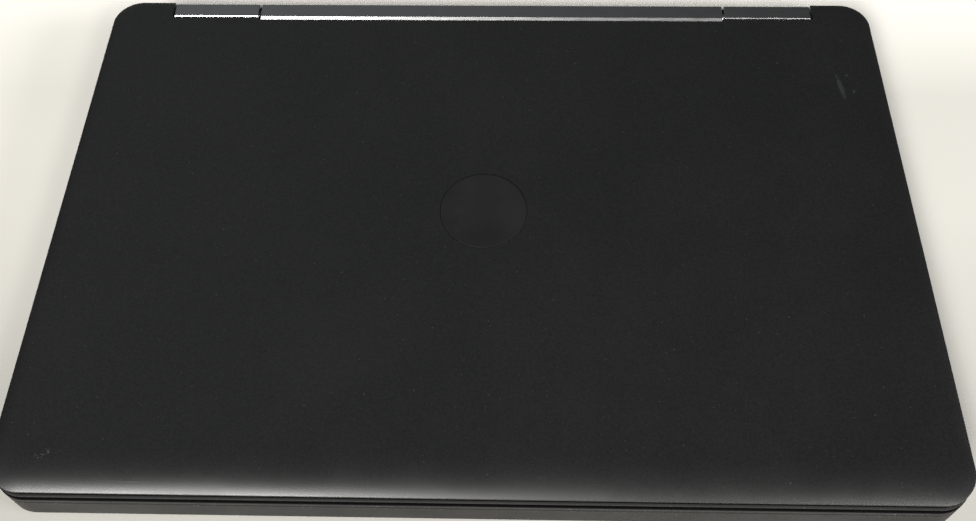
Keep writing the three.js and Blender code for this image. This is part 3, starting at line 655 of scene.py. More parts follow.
look = {
    "lid": lid_paint(),
    # The shell, bezel and deck plastics carry painted shade in their gap bands.
    "shell": side_layers(
        "shell_plastic", (0.0135, 0.0132, 0.0124), 0.54, [(15.7, 17)], (14.3, 15.6)
    ),
    "bezel": side_layers(
        "bezel_plastic", (0.011, 0.011, 0.0114), 0.55, [(22.7, 25)], (21.3, 21.9)
    ),
    "deck": side_layers(
        "deck_plastic", (0.014, 0.0141, 0.0144), 0.55, [(15, 16.9), (18.9, 20.35)], (17.1, 18.5)
    ),
    "battery": moulded("battery_plastic", (0.024, 0.024, 0.025), 0.55, 0.5, 0.016),
    "inner": moulded("inner_plastic", (0.02, 0.02, 0.021), 0.6, 0.5, 0.02, 0.1),
    "black": moulded("socket_plastic", (0.012, 0.012, 0.012), 0.5, 0.4, 0.01, 0.1),
    "blue": moulded("video_plastic", (0.02, 0.06, 0.30), 0.45, 0.4, 0.01, 0.1),
    "silver": silver_paint(),
    "badge": moulded("badge_black", (0.0068, 0.0074, 0.007), 0.35, 0.42, 0.011, 0.03),
    "screen": screen_glass(),
    "lens": lens_glass(),
    "touch": touch_surface(),
    "keys": key_plastic(),
    "ink": legend_ink(),
    "rubber": rubber(),
    "shadow_strip": seam_shadow_black(),
    "steel": metal("steel", (0.56, 0.57, 0.58), 0.3, (0.08, 1, 1), 0.3, 0.006, (0.35, 0.33, 0.3)),
    "alloy": metal("light_alloy", (0.68, 0.69, 0.7), 0.36, (0.06, 1, 1), 0.35, 0.006),
    "dark_alloy": metal("dark_alloy", (0.045, 0.046, 0.05), 0.5, (0.06, 1, 1), 0.35, 0.006),
    "copper": metal("copper", (0.72, 0.38, 0.22), 0.32, (1, 0.1, 1), 0.4, 0.008, (0.3, 0.12, 0.06)),
    "gold": metal("contact_gold", (0.83, 0.62, 0.28), 0.25),
    "board": circuit_board_green(),
    "table": table_top(),
}


# ------------------------------------------------------------------ lid
CROWN_FRONT = 17.0
CROWN_FRONT_DROP = 3.2
CROWN_EDGE = 7.0
CROWN_EDGE_DROP = 0.9
CROWN_POWER = 2.6
UNDERCUT_HEIGHT = 1.9


def crown_rings(inset, lower, rim, steps, undercut=0.0):
    """The lid from its rim to its flat top: a wide curved band in front and narrow ones elsewhere.

    undercut draws the lower rim in, so that the lid meets the layer below in shadow.
    """
    x, y = WIDTH / 2 - inset, DEPTH / 2 - inset
    outer = outline(inset)
    side, edges = x - CROWN_EDGE, (CROWN_FRONT - y, y - CROWN_EDGE)
    flat = rounded(-side, side, *edges, CORNER - CROWN_EDGE, CORNER_STEPS)
    shares = [front_share(i) for i in range(len(outer))]
    rings = []
    for turn in (0.0, 0.3, 0.65) if undercut else ():
        angle = math.radians(90 * turn)
        draw = undercut * (1 - math.sin(angle))
        rings.append(level(outline(inset + draw), rim + UNDERCUT_HEIGHT * (1 - math.cos(angle))))
    rings.append(level(outer, rim + (UNDERCUT_HEIGHT if undercut else 0)))
    for i in range(steps + 1):
        along = (i / steps) ** 1.4
        fall = (1 - along) ** CROWN_POWER
        ring = []
        for a, b, share in zip(outer, flat, shares):
            drop = fall * mix(CROWN_EDGE_DROP, CROWN_FRONT_DROP, share)
            ring.append((mix(a[0], b[0], along), mix(a[1], b[1], along), HEIGHT - lower - drop))
        rings.append(ring)
    return rings


def front_share(i):
    """How much of the front band point i of an outline takes: 1 in front, 0 at sides and rear."""
    corner, step = divmod(i, CORNER_STEPS + 1)
    angle = math.radians(90 * (corner - 1 + step / CORNER_STEPS))
    return max(0.0, -math.sin(angle)) ** 2


def shifted(half):
    """Both ends of the strip, or of a length along it: the strip sits a little right of centre."""
    return STRIP_SHIFT - half, STRIP_SHIFT + half


def lid_cover():
    """The lid's painted shell, with its round tails at the hinge and the badge's recess."""
    cover = loft("lid_shell", crown_rings(LID_INSET, 0, BEZEL_TOP + FIT, 18, 0.7))
    tails = prism("tails", outline(LID_INSET), HINGE_Z - STRIP_ARC - 1, BEZEL_TOP + 1.2)
    rounds = [
        rod("x", STRIP_ARC, side * NOTCH_END + STRIP_SHIFT, side * (WIDTH / 2 + 1),
            (HINGE_Y, HINGE_Z), 96)
        for side in (-1, 1)
    ]
    boolean(tails, join(rounds), "INTERSECT")
    unite(cover, [tails])
    cavity = loft("cavity", crown_rings(LID_INSET + WALL, WALL, BEZEL_TOP - 1, 4))
    boolean(cavity, box(-WIDTH, WIDTH, -DEPTH, 111.5, 0, 60), "INTERSECT")
    notch_front = HINGE_Y - STRIP_HALF - 1.0
    tools = [
        cavity,
        box(*shifted(NOTCH_END), notch_front, DEPTH, 10, HEIGHT + 5),
        box(*shifted(BARREL_END + 0.5), notch_front - 1.65, DEPTH, 24, HEIGHT + 5),
        rod("x", STRIP_ARC + FIT, *shifted(NOTCH_END), (HINGE_Y, HINGE_Z), 64),
        rod("z", BADGE_RADIUS + 0.3, HEIGHT - 0.5, HEIGHT + 1, (0, BADGE_Y), 128),
    ]
    for side in (-1, 1):
        arm = sorted((side * 101.6, side * 112.4))
        tools.append(box(*arm, 111.0, HINGE_Y, 24.2, 26.6))
    for tool in tools:
        cut(cover, [tool])
    smooth(cover, 28)
    soften(cover, 0.22)
    place(cover, "lid", "lid", "lid_paint", "lid_cover")


def lid_badge():
    """A plain round disc almost flush with the lid, very slightly dished. It carries no marking."""
    top = HEIGHT - 0.06
    profile = [
        (BADGE_RADIUS - 0.15, HEIGHT - 0.45),
        (BADGE_RADIUS, HEIGHT - 0.3),
        (BADGE_RADIUS, top - 0.05),
        (BADGE_RADIUS - 0.1, top),
        (BADGE_RADIUS - 0.9, top - 0.01),
        (BADGE_RADIUS - 1.5, top - 0.05),
        (BADGE_RADIUS - 2.6, top - 0.04),
        (BADGE_RADIUS * 0.6, top - 0.03),
        (BADGE_RADIUS * 0.25, top - 0.02),
    ]
    badge = smooth(turned("badge_disc", 0, BADGE_Y, 128, profile), 40)
    place(badge, "lid", "badge", "badge", "lid_badge")


def strip_section(facet, reach, steps=28):
    """Section of the silver strip: flat top, sloping front facet and a round underside.

    facet is the slope's length along Y, and reach is how far it stands out in front.
    """
    side = STRIP_HALF
    low = -math.sqrt(STRIP_ARC**2 - side**2)
    front = -side - reach
    points = [
        (side, side - 2.2),
        (side - 0.8, side - 0.5),
        (side - 1.7, side),
        (front + facet, side),
        (front + 0.2, side - 0.66 * facet),
        (front, side - 0.66 * facet - 0.35),
        (front, 1.2),
        (-side, 0.4),
        (-side, low),
    ]
    start = math.atan2(low, -side)
    end = math.atan2(low, side)
    for i in range(1, steps + 1):
        angle = start + (end - start) * i / steps
        points.append((STRIP_ARC * math.cos(angle), STRIP_ARC * math.sin(angle)))
    return [(HINGE_Y + y, HINGE_Z + z) for y, z in points]


def hinge_strip():
    """The silver strip: the long middle segment turns with the lid, the caps stay on the base."""
    bore = 4.3
    barrel = along_x("strip_middle", strip_section(2.6, 2.25), *shifted(BARREL_END))
    cut(barrel, [rod("x", bore, *shifted(BARREL_END + 1), (HINGE_Y, HINGE_Z), 48)])
    for side in (-1, 1):
        arm = sorted((side * 100.6, side * 113.2))
        cut(barrel, [box(*arm, HINGE_Y - 8, HINGE_Y, 23.4, 27.6)])
    soften(barrel, 0.18, 3, 18)
    place(barrel, "lid", "silver", "silver_trim", "hinge_barrel")

    for side, name in ((-1, "left"), (1, "right")):
        inner, outer = side * CAP_X[0] + STRIP_SHIFT, side * CAP_X[1] + STRIP_SHIFT
        cap = along_x(f"strip_{name}", strip_section(1.25, 0.6), *sorted((inner, outer)))
        hollow = sorted((inner - side, outer - side * WALL))
        cut(cap, [rod("x", bore, *hollow, (HINGE_Y, HINGE_Z), 48)])
        recess = sorted((side * 121.6, side * 148.4))
        cut(cap, [box(*recess, 117.9, 122.8, 15, HINGE_Z)])
        soften(cap, 0.18, 3, 18)
        place(cap, "base", "silver", "silver_trim", f"{name}_hinge_cap")


def screen_bezel():
    """The frame round the screen, with the webcam's window and six rubber bumpers."""
    bezel = outline_loft(
        "bezel_frame",
        (
            (BEZEL_INSET + 0.5, BEZEL_FACE),
            (BEZEL_INSET + 0.15, BEZEL_FACE + 0.15),
            (BEZEL_INSET, BEZEL_FACE + 0.5),
            (BEZEL_INSET, BEZEL_TOP - 1.9),
            (BEZEL_INSET + 0.15, BEZEL_TOP - 1.7),
            (BEZEL_INSET + 1.2, BEZEL_TOP - 1.6),
            (BEZEL_INSET + 1.2, BEZEL_TOP),
        ),
    )
    pocket = prism("pocket", outline(BEZEL_INSET + WALL), BEZEL_FACE + 1.6, HEIGHT)
    behind = box(-WIDTH, WIDTH, HINGE_Y - 6.6, DEPTH, 0, 60)
    slopes = ((-1.6, 1.8, BEZEL_FACE - 0.6), (0, 0.6, BEZEL_FACE + 1.1), (0, 0.6, BEZEL_FACE + 2.5))
    window = plate("window", SCREEN, 6, slopes)
    lens = rod("z", 1.6, 20, 24, (0, WEBCAM_Y), 32)
    for tool in (pocket, behind, window, lens):
        cut(bezel, [tool])
    holes = [rod("z", 0.45, 20, BEZEL_FACE + 0.6, (x, WEBCAM_Y), 12) for x in (-34, -31, 31, 34)]
    holes.append(rod("z", 0.6, 20, BEZEL_FACE + 0.4, (6, WEBCAM_Y), 12))
    cut(bezel, holes)
    smooth(bezel, 28)
    soften(bezel, 0.2)
    place(bezel, "lid", "bezel", "shell_plastic", "screen_bezel")

    bumpers = ((-182, -70), (182, -70), (-182, 60), (182, 60), (-80, -121.5), (80, -121.5))
    for i, (x, y) in enumerate(bumpers):
        long_x, long_y = (6, 2) if abs(y) > 100 else (2, 6)
        edges = (x - long_x, x + long_x, y - long_y, y + long_y)
        rows = ((0, 1.9, BEZEL_FACE), (0, 1.9, BEZEL_FACE - 0.3), (0.4, 1.5, BEZEL_FACE - 0.5))
        pad = plate(f"bezel_bumper_{i + 1}", edges, 6, rows)
        place(smooth(pad, 40), "lid", "rubber", "rubber")


def shadow_strip(name, body, inset, depth, z0, z1):
    """A black strip that fills a gap all round the laptop, as painted shade for the shadow there."""
    rows = ((inset + 0.1, z0), (inset, z0 + 0.15), (inset, z1 - 0.15), (inset + 0.1, z1))
    ring = outline_loft(name, rows)
    cut(ring, [prism("inside", outline(inset + depth), z0 - 1, z1 + 1)])
    cut(ring, [box(-WIDTH, WIDTH, 112, DEPTH, 0, 60)])
    place(smooth(ring, 40), body, "shadow_strip", "rubber")


def seam_shadows():
    """Dark strips between the lid, the bezel, the deck and the base: painted shade standing for the
    shadow in the gaps.
    """
    shadow_strip("lid_seam_shadow", "lid", BEZEL_INSET + 0.75, 0.4, BEZEL_TOP - 1.5, BEZEL_TOP - 0.1)
    shadow_strip("deck_seam_shadow", "base", 0.08, 1.3, DECK_STEP + 0.05, DECK_STEP + 1.4)
    shadow_strip("base_seam_shadow", "base", 0.34, 0.24, SPLIT - 0.6, SPLIT + FIT - 0.05)


def display():
    """The panel, its picture area a step lower than its black border, and the webcam's lens."""
    face = 22.5
    border = BEZEL_FACE + 1.9
    back = [level(rounded(*PANEL, 1, 3), z) for z in (26.9, border)]
    steps = (
        (FIT, 0.5, border),
        (FIT, 0.5, face + 0.05),
        (FIT, 0.5, face),
        (1.6, 0.3, face),
        (1.7, 0.3, face + 0.08),
    )
    front = [level(rounded(*drawn_in(SCREEN, inset), radius, 3), z) for inset, radius, z in steps]
    panel = smooth(loft("display_panel", back + front), 20)
    place(panel, "lid", "screen", "screen", "lcd_panel")

    profile = ((1.3, 24.3), (1.3, 22.4), (1.05, 22.2), (0.9, 22.35), (0.5, 22.2), (0.2, 22.13))
    lens = smooth(turned("webcam_lens", 0, WEBCAM_Y, 32, profile), 30)
    place(lens, "lid", "lens", "screen")


# ------------------------------------------------------------------ base
SOCKETS = {
    "usb_left": ((-189, -174, 64, 77.4, 4.4, 10.4), (-190, -176, 64.6, 76.8, 5, 9.8)),
    "usb_right": ((174, 189, 68, 81.4, 4.4, 10.4), (176, 190, 68.6, 80.8, 5, 9.8)),
    "video_small": ((-139, -123, 110, 124.8, 4.6, 10.4), (-138.2, -123.8, 113, 126, 5.4, 9.6)),
    "video": ((119, 150, 110, 124.6, 4.1, 12.9), (126, 143, 118, 126, 5.2, 11.8)),
    "network": ((-168, -152, 104, 124.8, 4.1, 14.7), (-165.9, -154.1, 110, 126, 5.4, 13.4)),
}
TONGUES = {
    "usb_left": (-187.5, -175, 65.6, 75.8, 7.6, 9),
    "usb_right": (175, 187.5, 69.6, 79.8, 7.6, 9),
    "video_small": (-136, -126, 112, 123.5, 7.2, 8.4),
    "video": (127, 142, 117, 123.6, 6.2, 10.8),
    "network": (-164, -156, 109, 121, 12.2, 12.8),
}
INLET = (170, 9.4)
AUDIO = (-98, 8)
LATCH_X = -56.0
FEET = {
    "front_left_foot": (-165, -116),
    "front_right_foot": (165, -116),
    "rear_left_foot": (-165, 108),
    "rear_right_foot": (165, 108),
}
SCREWS = ((-120, 51), (30, 51))
REAR_WALL = 120
SIDE_WALL = 186
OUTSIDE = WIDTH / 2 + 1
CARD_SLOT = (-40, 12, 12.2, 13.6)
LOCK_SLOT = (98, 105, 7, 10)
VENT_START = 18
VENT_PITCH = 4.6
VENT_COUNT = 9
LATCH_SLOT = (65.9, 72.9)
LATCH_Y = (66.3, 72.5)
CONTACT_PITCH = 3.4
CONTACT_COUNT = 9
FITTING_BOTTOM = 18.2
RISER = (122, 148, 118.2, 122.5)


def trough():
    """The round channel that the hinge strip turns in."""
    return rod("x", TROUGH, -WIDTH, WIDTH, (HINGE_Y, HINGE_Z), 96)


def at_rear(shell):
    """Whether a socket opens to the rear. The others open to a side."""
    return shell[3] > REAR_WALL


def wall_openings():
    """Cuts through the base's walls: sockets, inlet, audio, card slot, lock slot, drive and vent."""
    openings = []
    for shell, _ in SOCKETS.values():
        x0, x1, y0, y1, z0, z1 = shell
        gap_x, gap_y = (FIT, 3) if at_rear(shell) else (3, FIT)
        sides = (x0 - gap_x, x1 + gap_x, y0 - gap_y, y1 + gap_y)
        openings.append(box(*sides, z0 - FIT, z1 + FIT))
    openings.append(rod("y", 4.3, 118, 127, INLET, 40))
    openings.append(rod("x", 3.2, -OUTSIDE, -SIDE_WALL, AUDIO, 32))
    openings.append(box(-OUTSIDE, -SIDE_WALL, *CARD_SLOT))
    openings.append(box(SIDE_WALL, OUTSIDE, *LOCK_SLOT))
    x1, y0, y1 = DRIVE[1:]
    openings.append(box(x1 - 4, OUTSIDE, y0 + 0.4, y1 - 0.4, DRIVE_Z[0] - 0.2, DRIVE_Z[1] + 0.2))
    for i in range(VENT_COUNT):
        y = VENT_START + i * VENT_PITCH
        openings.append(box(-OUTSIDE, -187, y, y + 2.6, 5, 14))
    return openings


def foot_points(x, y, grow):
    """A foot's outline, grown all round."""
    return rounded(*drawn_in((x - 13, x + 13, y - 4.5, y + 4.5), -grow), 3.5, 8)


def bottom_shell():
    """The bottom case with its battery bay, cover opening, latch slot and wall openings."""
    low = BASE_BOTTOM
    shell = outline_loft(
        "bottom_shell",
        (
            (1.5, low),
            (0.75, low + 0.28),
            (0.22, low + 0.85),
            (0.0, low + 1.7),
            (0.0, SPLIT - 1.15),
            (0.12, SPLIT - 0.85),
            (0.6, SPLIT - 0.7),
            (0.6, SPLIT),
        ),
    )
    rim = CORNER - WALL
    inner = WIDTH / 2 - WALL
    rear = DEPTH / 2 - WALL
    cut(shell, [prism("hollow", rounded(-inner, inner, -rear, 112, rim), low + WALL, SPLIT + 1)])
    cut(shell, [prism("rear", rounded(-inner, inner, 90, rear, rim), low + WALL, 15)])
    deck = prism("deck", outline(0.0), 15, 19.4)
    boolean(deck, box(-WIDTH, WIDTH, 117.4, DEPTH, 0, HEIGHT), "INTERSECT")
    bay_x0, bay_x1, bay_y0, _ = drawn_in(BATTERY, -2.1)
    roof = BATTERY_TOP + FIT
    for wall in (
        deck,
        box(-inner, inner, 115, 118, 15, 18.4),
        box(bay_x0, bay_x1, bay_y0, DEPTH / 2 - 1, low, roof + 1.2),
        box(*drawn_in(COVER, -2), low + 0.02, 5.1),
        box(LATCH_X - 16, LATCH_X + 16, 64.6, 74.4, 3, 5.6),
    ):
        unite(shell, [wall])
    x0, x1, y0, y1 = COVER
    tools = [
        trough(),
        box(BATTERY[0] - FIT, BATTERY[1] + FIT, BATTERY[2] - FIT, DEPTH, 0, roof),
        prism("cover", rounded(*drawn_in(COVER, -FIT), 2.5, 6), 0, 3.9),
        box(x0 + 2, x1 - 2, y0 + 2, y1 - 9, 0, 6),
        box(LATCH_X - 12.5, LATCH_X + 12.5, *LATCH_SLOT, 0, 4.2),
    ]
    for side in (-1, 1):
        near, far = sorted((side * (RISER[0] - 0.4), side * (RISER[1] + 0.4)))
        tools.append(box(near, far, RISER[2] - 0.4, RISER[3] + 0.4, 14, 20))
    tools += [prism("foot", foot_points(x, y, FIT), 0, 3.0) for x, y in FEET.values()]
    tools += [rod("z", 1.9, 0, 6, at, 24) for at in SCREWS]
    for tool in tools:
        cut(shell, [tool])
    cut(shell, wall_openings())
    cut(shell, [rod("z", 3.1, 0, low + 0.7, at, 24) for at in CASE_SCREWS])
    smooth(shell, 28)
    soften(shell, 0.2)
    place(shell, "base", "shell", "shell_plastic", "bottom_case")


def cross_screw(name, x, y, z, radius):
    """A countersunk screw head seen from below, with a cross recess."""
    profile = (
        (radius * 0.8, z + 0.55),
        (radius, z + 0.4),
        (radius, z + 0.12),
        (radius * 0.85, z),
        (radius * 0.5, z - 0.04),
    )
    screw = turned(name, x, y, 32, profile)
    arm = radius * 0.55
    for half_x, half_y in ((arm, 0.28), (0.28, arm)):
        cut(screw, [box(x - half_x, x + half_x, y - half_y, y + half_y, z - 1, z + 0.35)])
    return smooth(screw, 30)


def underside():
    """Screw heads, the vented access cover and the four feet."""
    for i, (x, y) in enumerate(CASE_SCREWS):
        screw = cross_screw(f"case_screw_{i + 1}", x, y, BASE_BOTTOM + 0.1, 2.8)
        place(screw, "base", "steel", "steel")
    for name, (x, y) in zip(("left_cover_screw", "right_cover_screw"), SCREWS):
        screw = cross_screw(f"{name}_head", x, y, BASE_BOTTOM + 0.15, 3.4)
        place(screw, "base", "steel", "steel", name)

    rows = ((0.4, 2, BASE_BOTTOM), (0, 2.2, BASE_BOTTOM + 0.4), (0, 2.2, 3.6))
    cover = plate("cover_plate", COVER, 6, rows)
    cut(cover, [rod("z", 2.2, 0, 6, at, 24) for at in SCREWS])
    cut(cover, [rod("z", 3.9, 0, 2.9, at, 32) for at in SCREWS])
    vents = [10 + i * 3.6 for i in range(10)]
    cut(cover, [prism("vent", rounded(-166, -130, y, y + 1.8, 0.85, 4), 0, 6) for y in vents])
    place(soften(cover, 0.2), "base", "shell", "shell_plastic", "access_cover")

    for name, (x, y) in FEET.items():
        steps = ((0, 2.7), (0, 0.7), (-0.3, 0.22), (-0.9, 0.0))
        foot = loft(f"{name}_pad", [level(foot_points(x, y, grow), z) for grow, z in steps])
        place(smooth(foot, 50), "base", "rubber", "rubber", name)


def top_shell():
    """The top case: its stepped rim, the key well, the touchpad's bay and the button holes."""
    skin = 1.9
    inner = WIDTH / 2 - WALL
    shell = outline_loft(
        "deck_shell",
        (
            (0.3, SPLIT + FIT),
            (0.08, SPLIT + FIT + 0.1),
            (0.0, SPLIT + FIT + 0.3),
            (0.0, DECK_STEP - 0.2),
            (0.15, DECK_STEP),
            (1.4, DECK_STEP),
            (1.4, DECK - 0.2),
            (1.6, DECK),
        ),
    )
    below = rounded(-inner, inner, -DEPTH / 2 + WALL, 140, CORNER - WALL)
    under = prism("under", below, SPLIT, DECK - skin)
    cut(under, [box(*drawn_in(KEY_OPENING, -1.4), 10, 30)])
    slopes = ((0, 1.6, 10), (0, 1.6, DECK - 0.5), (-0.6, 2.2, DECK + 0.1))
    key_well = plate("key_well", KEY_OPENING, 6, slopes)
    cut(key_well, [box(*PAD_RIB, -DEPTH, DEPTH, 0, 40)])
    x0, x1 = TOUCHPAD[0] - FIT, TOUCHPAD[1] + FIT
    low, high = PAD_BUTTON_Y
    tools = [
        under,
        trough(),
        box(-WIDTH, WIDTH, 117, DEPTH, 0, HEIGHT),
        key_well,
        prism("touchpad", rounded(*drawn_in(TOUCHPAD, -FIT), 2.3, 6), 10, 30),
        prism("buttons", rounded(x0, x1, low - FIT, high, 2.2, 6), 10, 30),
        rod("z", 6.5, 10, 30, POWER, 48),
    ]
    tools += [prism("media", media_points(x, FIT), 10, 30) for x in MEDIA.values()]
    for x in (-160, -153, -146):
        tools.append(prism("lamp", rounded(x, x + 3.5, -121, -120, 0.45, 4), DECK - 0.25, 30))
    for tool in tools:
        cut(shell, [tool])
    smooth(shell, 28)
    soften(shell, 0.25)
    place(shell, "base", "deck", "deck_plastic", "top_case")


def media_points(x, grow):
    """The outline of a volume button, grown all round."""
    return rounded(*drawn_in((x - 5, x + 5, *MEDIA_Y), -grow), 1.5, 6)


def fittings():
    """Touchpad, its two buttons, and the power and volume buttons."""
    rows = ((0, 2, FITTING_BOTTOM), (0, 2, DECK - 0.5), (0.3, 1.8, DECK - FIT))
    pad = plate("touch_surface", TOUCHPAD, 6, rows)
    place(smooth(pad, 30), "base", "touch", "deck_plastic", "touchpad")

    x0, x1 = TOUCHPAD[:2]
    y0, y1 = PAD_BUTTON_Y[0], PAD_BUTTON_Y[1] - FIT
    middle = (x0 + x1) / 2
    rows = (
        (0, 2, 18.4),
        (0, 2, DECK - 0.8),
        (0.25, 1.9, DECK - 0.4),
        (0.9, 1.6, DECK - 0.15),
        (3, 1.2, DECK - 0.1),
    )
    for name, left, right in (
        ("touchpad_left_button", x0, middle - 0.25),
        ("touchpad_right_button", middle + 0.25, x1),
    ):
        button = plate(f"{name}_cap", (left, right, y0, y1), 6, rows)
        place(smooth(button, 40), name, "deck", "key_plastic", name)
    power_button()
    for name, x in MEDIA.items():
        media_button(name, x)


def power_button():
    """A round metal cap with the usual ring-and-bar symbol."""
    profile = (
        (6.2, FITTING_BOTTOM),
        (6.2, DECK - 0.5),
        (6.0, DECK - 0.1),
        (5.7, DECK),
        (5.1, DECK - 0.02),
        (4.9, DECK - 0.3),
        (2.0, DECK - 0.42),
    )
    cap = smooth(turned("power_cap", *POWER, 64, profile), 30)
    place(cap, "power_button", "silver", "silver_trim", "power_button")
    x, y = POWER
    ring = arc_bar(x, y, 2.1, 0.42, 125, 415, DECK - 0.3)
    bar = box(x - 0.22, x + 0.22, y + 0.7, y + 2.7, DECK - 0.42, DECK - 0.26)
    symbol = join([ring, bar], "power_symbol")
    place(symbol, "power_button", "ink", "key_plastic")


def media_button(name, x):
    """A volume button with a minus, a plus or a cross on it."""
    steps = ((0, FITTING_BOTTOM), (0, DECK - 0.5), (-0.3, DECK - 0.12), (-0.8, DECK))
    cap = loft(f"{name}_cap", [level(media_points(x, grow), z) for grow, z in steps])
    place(smooth(cap, 40), name, "keys", "key_plastic", name)
    y = sum(MEDIA_Y) / 2
    marks = [box(x - 1, x + 1, y - 0.2, y + 0.2, DECK - 0.05, DECK + 0.02)]
    if name != "volume_down_button":
        marks.append(box(x - 0.2, x + 0.2, y - 1, y + 1, DECK - 0.05, DECK + 0.02))
    mark = join(marks, f"{name}_mark")
    if name == "mute_button":
        centre = Vector((x * MM, y * MM, 0))
        turn = Matrix.Rotation(math.radians(45), 4, "Z")
        mark.data.transform(Matrix.Translation(centre) @ turn @ Matrix.Translation(-centre))
    place(mark, name, "ink", "key_plastic")


def arc_bar(x, y, radius, width, start, end, z, steps=24):
    """A flat curved bar, for a symbol."""
    angles = [math.radians(start + (end - start) * i / steps) for i in range(steps + 1)]
    sides = [
        [(x + r * math.cos(angle), y + r * math.sin(angle)) for angle in angles]
        for r in (radius - width / 2, radius + width / 2)
    ]
    bm = bmesh.new()
    low = [[bm.verts.new((px, py, z - 0.12)) for px, py in side] for side in sides]
    high = [[bm.verts.new((px, py, z + 0.04)) for px, py in side] for side in sides]
    for i in range(steps):
        for a, b in ((low[0], low[1]), (high[1], high[0]), (low[1], high[1]), (high[0], low[0])):
            bm.faces.new((a[i], a[i + 1], b[i + 1], b[i]))
    for i in (0, steps):
        bm.faces.new((low[0][i], low[1][i], high[1][i], high[0][i]))
    return link_mesh("arc", bm)


# ------------------------------------------------------------------ keys
UNIT = 18.6
KEY_GAP = 0.7
KEY_BOTTOM = 18.4
KEY_TOP = 20.7
KEY_TAPER = 1.7
KEYS_LEFT = -176.6
KEYS_BACK = 91.8
FUNCTION_ROW = 12.4
PAD_LEFT = 106.0
PAD_UNIT = 17.6


def add_cap(bm, x, y, width, depth):
    """One key cap: a skirt, rounded shoulders and a shallow dish."""
    x0, x1 = x + KEY_GAP / 2, x + width - KEY_GAP / 2
    y0, y1 = y + KEY_GAP / 2, y + depth - KEY_GAP / 2
    rings = []
    for inset, z, radius in (
        (0.0, KEY_BOTTOM, 0.8),
        (0.12, KEY_BOTTOM + 0.7, 0.9),
        (KEY_TAPER * 0.62, KEY_TOP - 0.45, 1.3),
        (KEY_TAPER * 0.86, KEY_TOP - 0.12, 1.5),
        (KEY_TAPER * 1.12, KEY_TOP, 1.6),
        (KEY_TAPER * 1.5, KEY_TOP - 0.05, 1.6),
        (KEY_TAPER * 2.6, KEY_TOP - 0.2, 1.4),
    ):
        if 2 * (inset + radius) > min(x1 - x0, y1 - y0):
            radius = max(0.1, min(x1 - x0, y1 - y0) / 2 - inset - 0.05)
        rings.append(level(rounded(*drawn_in((x0, x1, y0, y1), inset), radius, 4), z))
    add_loft(bm, rings)


def key_run(left, y, widths, unit=UNIT, depth=UNIT):
    """A run of keys in one row: (x, y, width, depth) for each."""
    made = []
    x = left
    for width in widths:
        made.append((x, y, width * unit, depth))
        x += width * unit
    return made


def row_y(n):
    """The front edge of key row n, counted from the function row."""
    return KEYS_BACK - FUNCTION_ROW - n * UNIT


def units(n):
    """The left edge of a key that starts n key widths from the left."""
    return KEYS_LEFT + n * UNIT


def pad_key(n, column, wide=1, high=1):
    """A key of the number pad, by row and column."""
    return (PAD_LEFT + column * PAD_UNIT, row_y(n), wide * PAD_UNIT, high * UNIT)


def key_layout():
    """Every block's keys and legends. A legend of two marks has a space between them."""
    top = KEYS_BACK - FUNCTION_ROW
    function_unit = 15 * UNIT / 16
    arrow = units(12)
    half = UNIT / 2
    pad_keys = key_run(PAD_LEFT, top, [1] * 4, PAD_UNIT, FUNCTION_ROW)
    pad_keys += [pad_key(1, c) for c in range(4)]
    pad_keys += [pad_key(n, c) for n in (2, 3, 4) for c in range(3)]
    pad_keys += [pad_key(3, 3, 1, 2), pad_key(5, 3, 1, 2), pad_key(5, 0, 2), pad_key(5, 2)]
    arrows = key_run(arrow, row_y(5), [1] * 3, UNIT, half)
    arrows.append((arrow + UNIT, row_y(5) + half, UNIT, half))
    function_names = ["Esc"] + [f"F{i}" for i in range(1, 13)] + ["Prt", "Ins", "Del"]
    return {
        "function_keys": (key_run(KEYS_LEFT, top, [1] * 16, function_unit, FUNCTION_ROW),
                          function_names),
        "number_keys": (key_run(units(0), row_y(1), [1] * 13),
                        [f"{low} {high}" for low, high in zip("`1234567890-=", "~!@#$%^&*()_+")]),
        "backspace_key": (key_run(units(13), row_y(1), [2]), ["Backspace"]),
        "tab_key": (key_run(units(0), row_y(2), [1.5]), ["Tab"]),
        "upper_letter_keys": (key_run(units(1.5), row_y(2), [1] * 12 + [1.5]),
                              list("QWERTYUIOP") + ["[ {", "] }", "\\ |"]),
        "caps_lock_key": (key_run(units(0), row_y(3), [1.75]), ["Caps Lock"]),
        "home_letter_keys": (key_run(units(1.75), row_y(3), [1] * 11),
                             list("ASDFGHJKL") + ["; :", "' \""]),
        "enter_key": (key_run(units(12.75), row_y(3), [2.25]), ["Enter"]),
        "left_shift_key": (key_run(units(0), row_y(4), [2.25]), ["Shift"]),
        "lower_letter_keys": (key_run(units(2.25), row_y(4), [1] * 10),
                              list("ZXCVBNM") + [", <", ". >", "/ ?"]),
        "right_shift_key": (key_run(units(12.25), row_y(4), [2.75]), ["Shift"]),
        "left_modifier_keys": (key_run(units(0), row_y(5), [1.25, 1, 1, 1.25]),
                               ["Ctrl", "Fn", "o", "Alt"]),
        "space_bar": (key_run(units(4.5), row_y(5), [5.25]), [""]),
        "right_modifier_keys": (key_run(units(9.75), row_y(5), [1, 1.25]), ["Alt", "Ctrl"]),
        "arrow_keys": (arrows, ["<", "v", ">", "^"]),
        "numeric_pad_keys": (pad_keys,
                             ["Home", "End", "PgUp", "PgDn", "Num", "/", "*", "-", "7", "8", "9",
                              "4", "5", "6", "1", "2", "3", "+", "Ent", "0", "."]),
    }


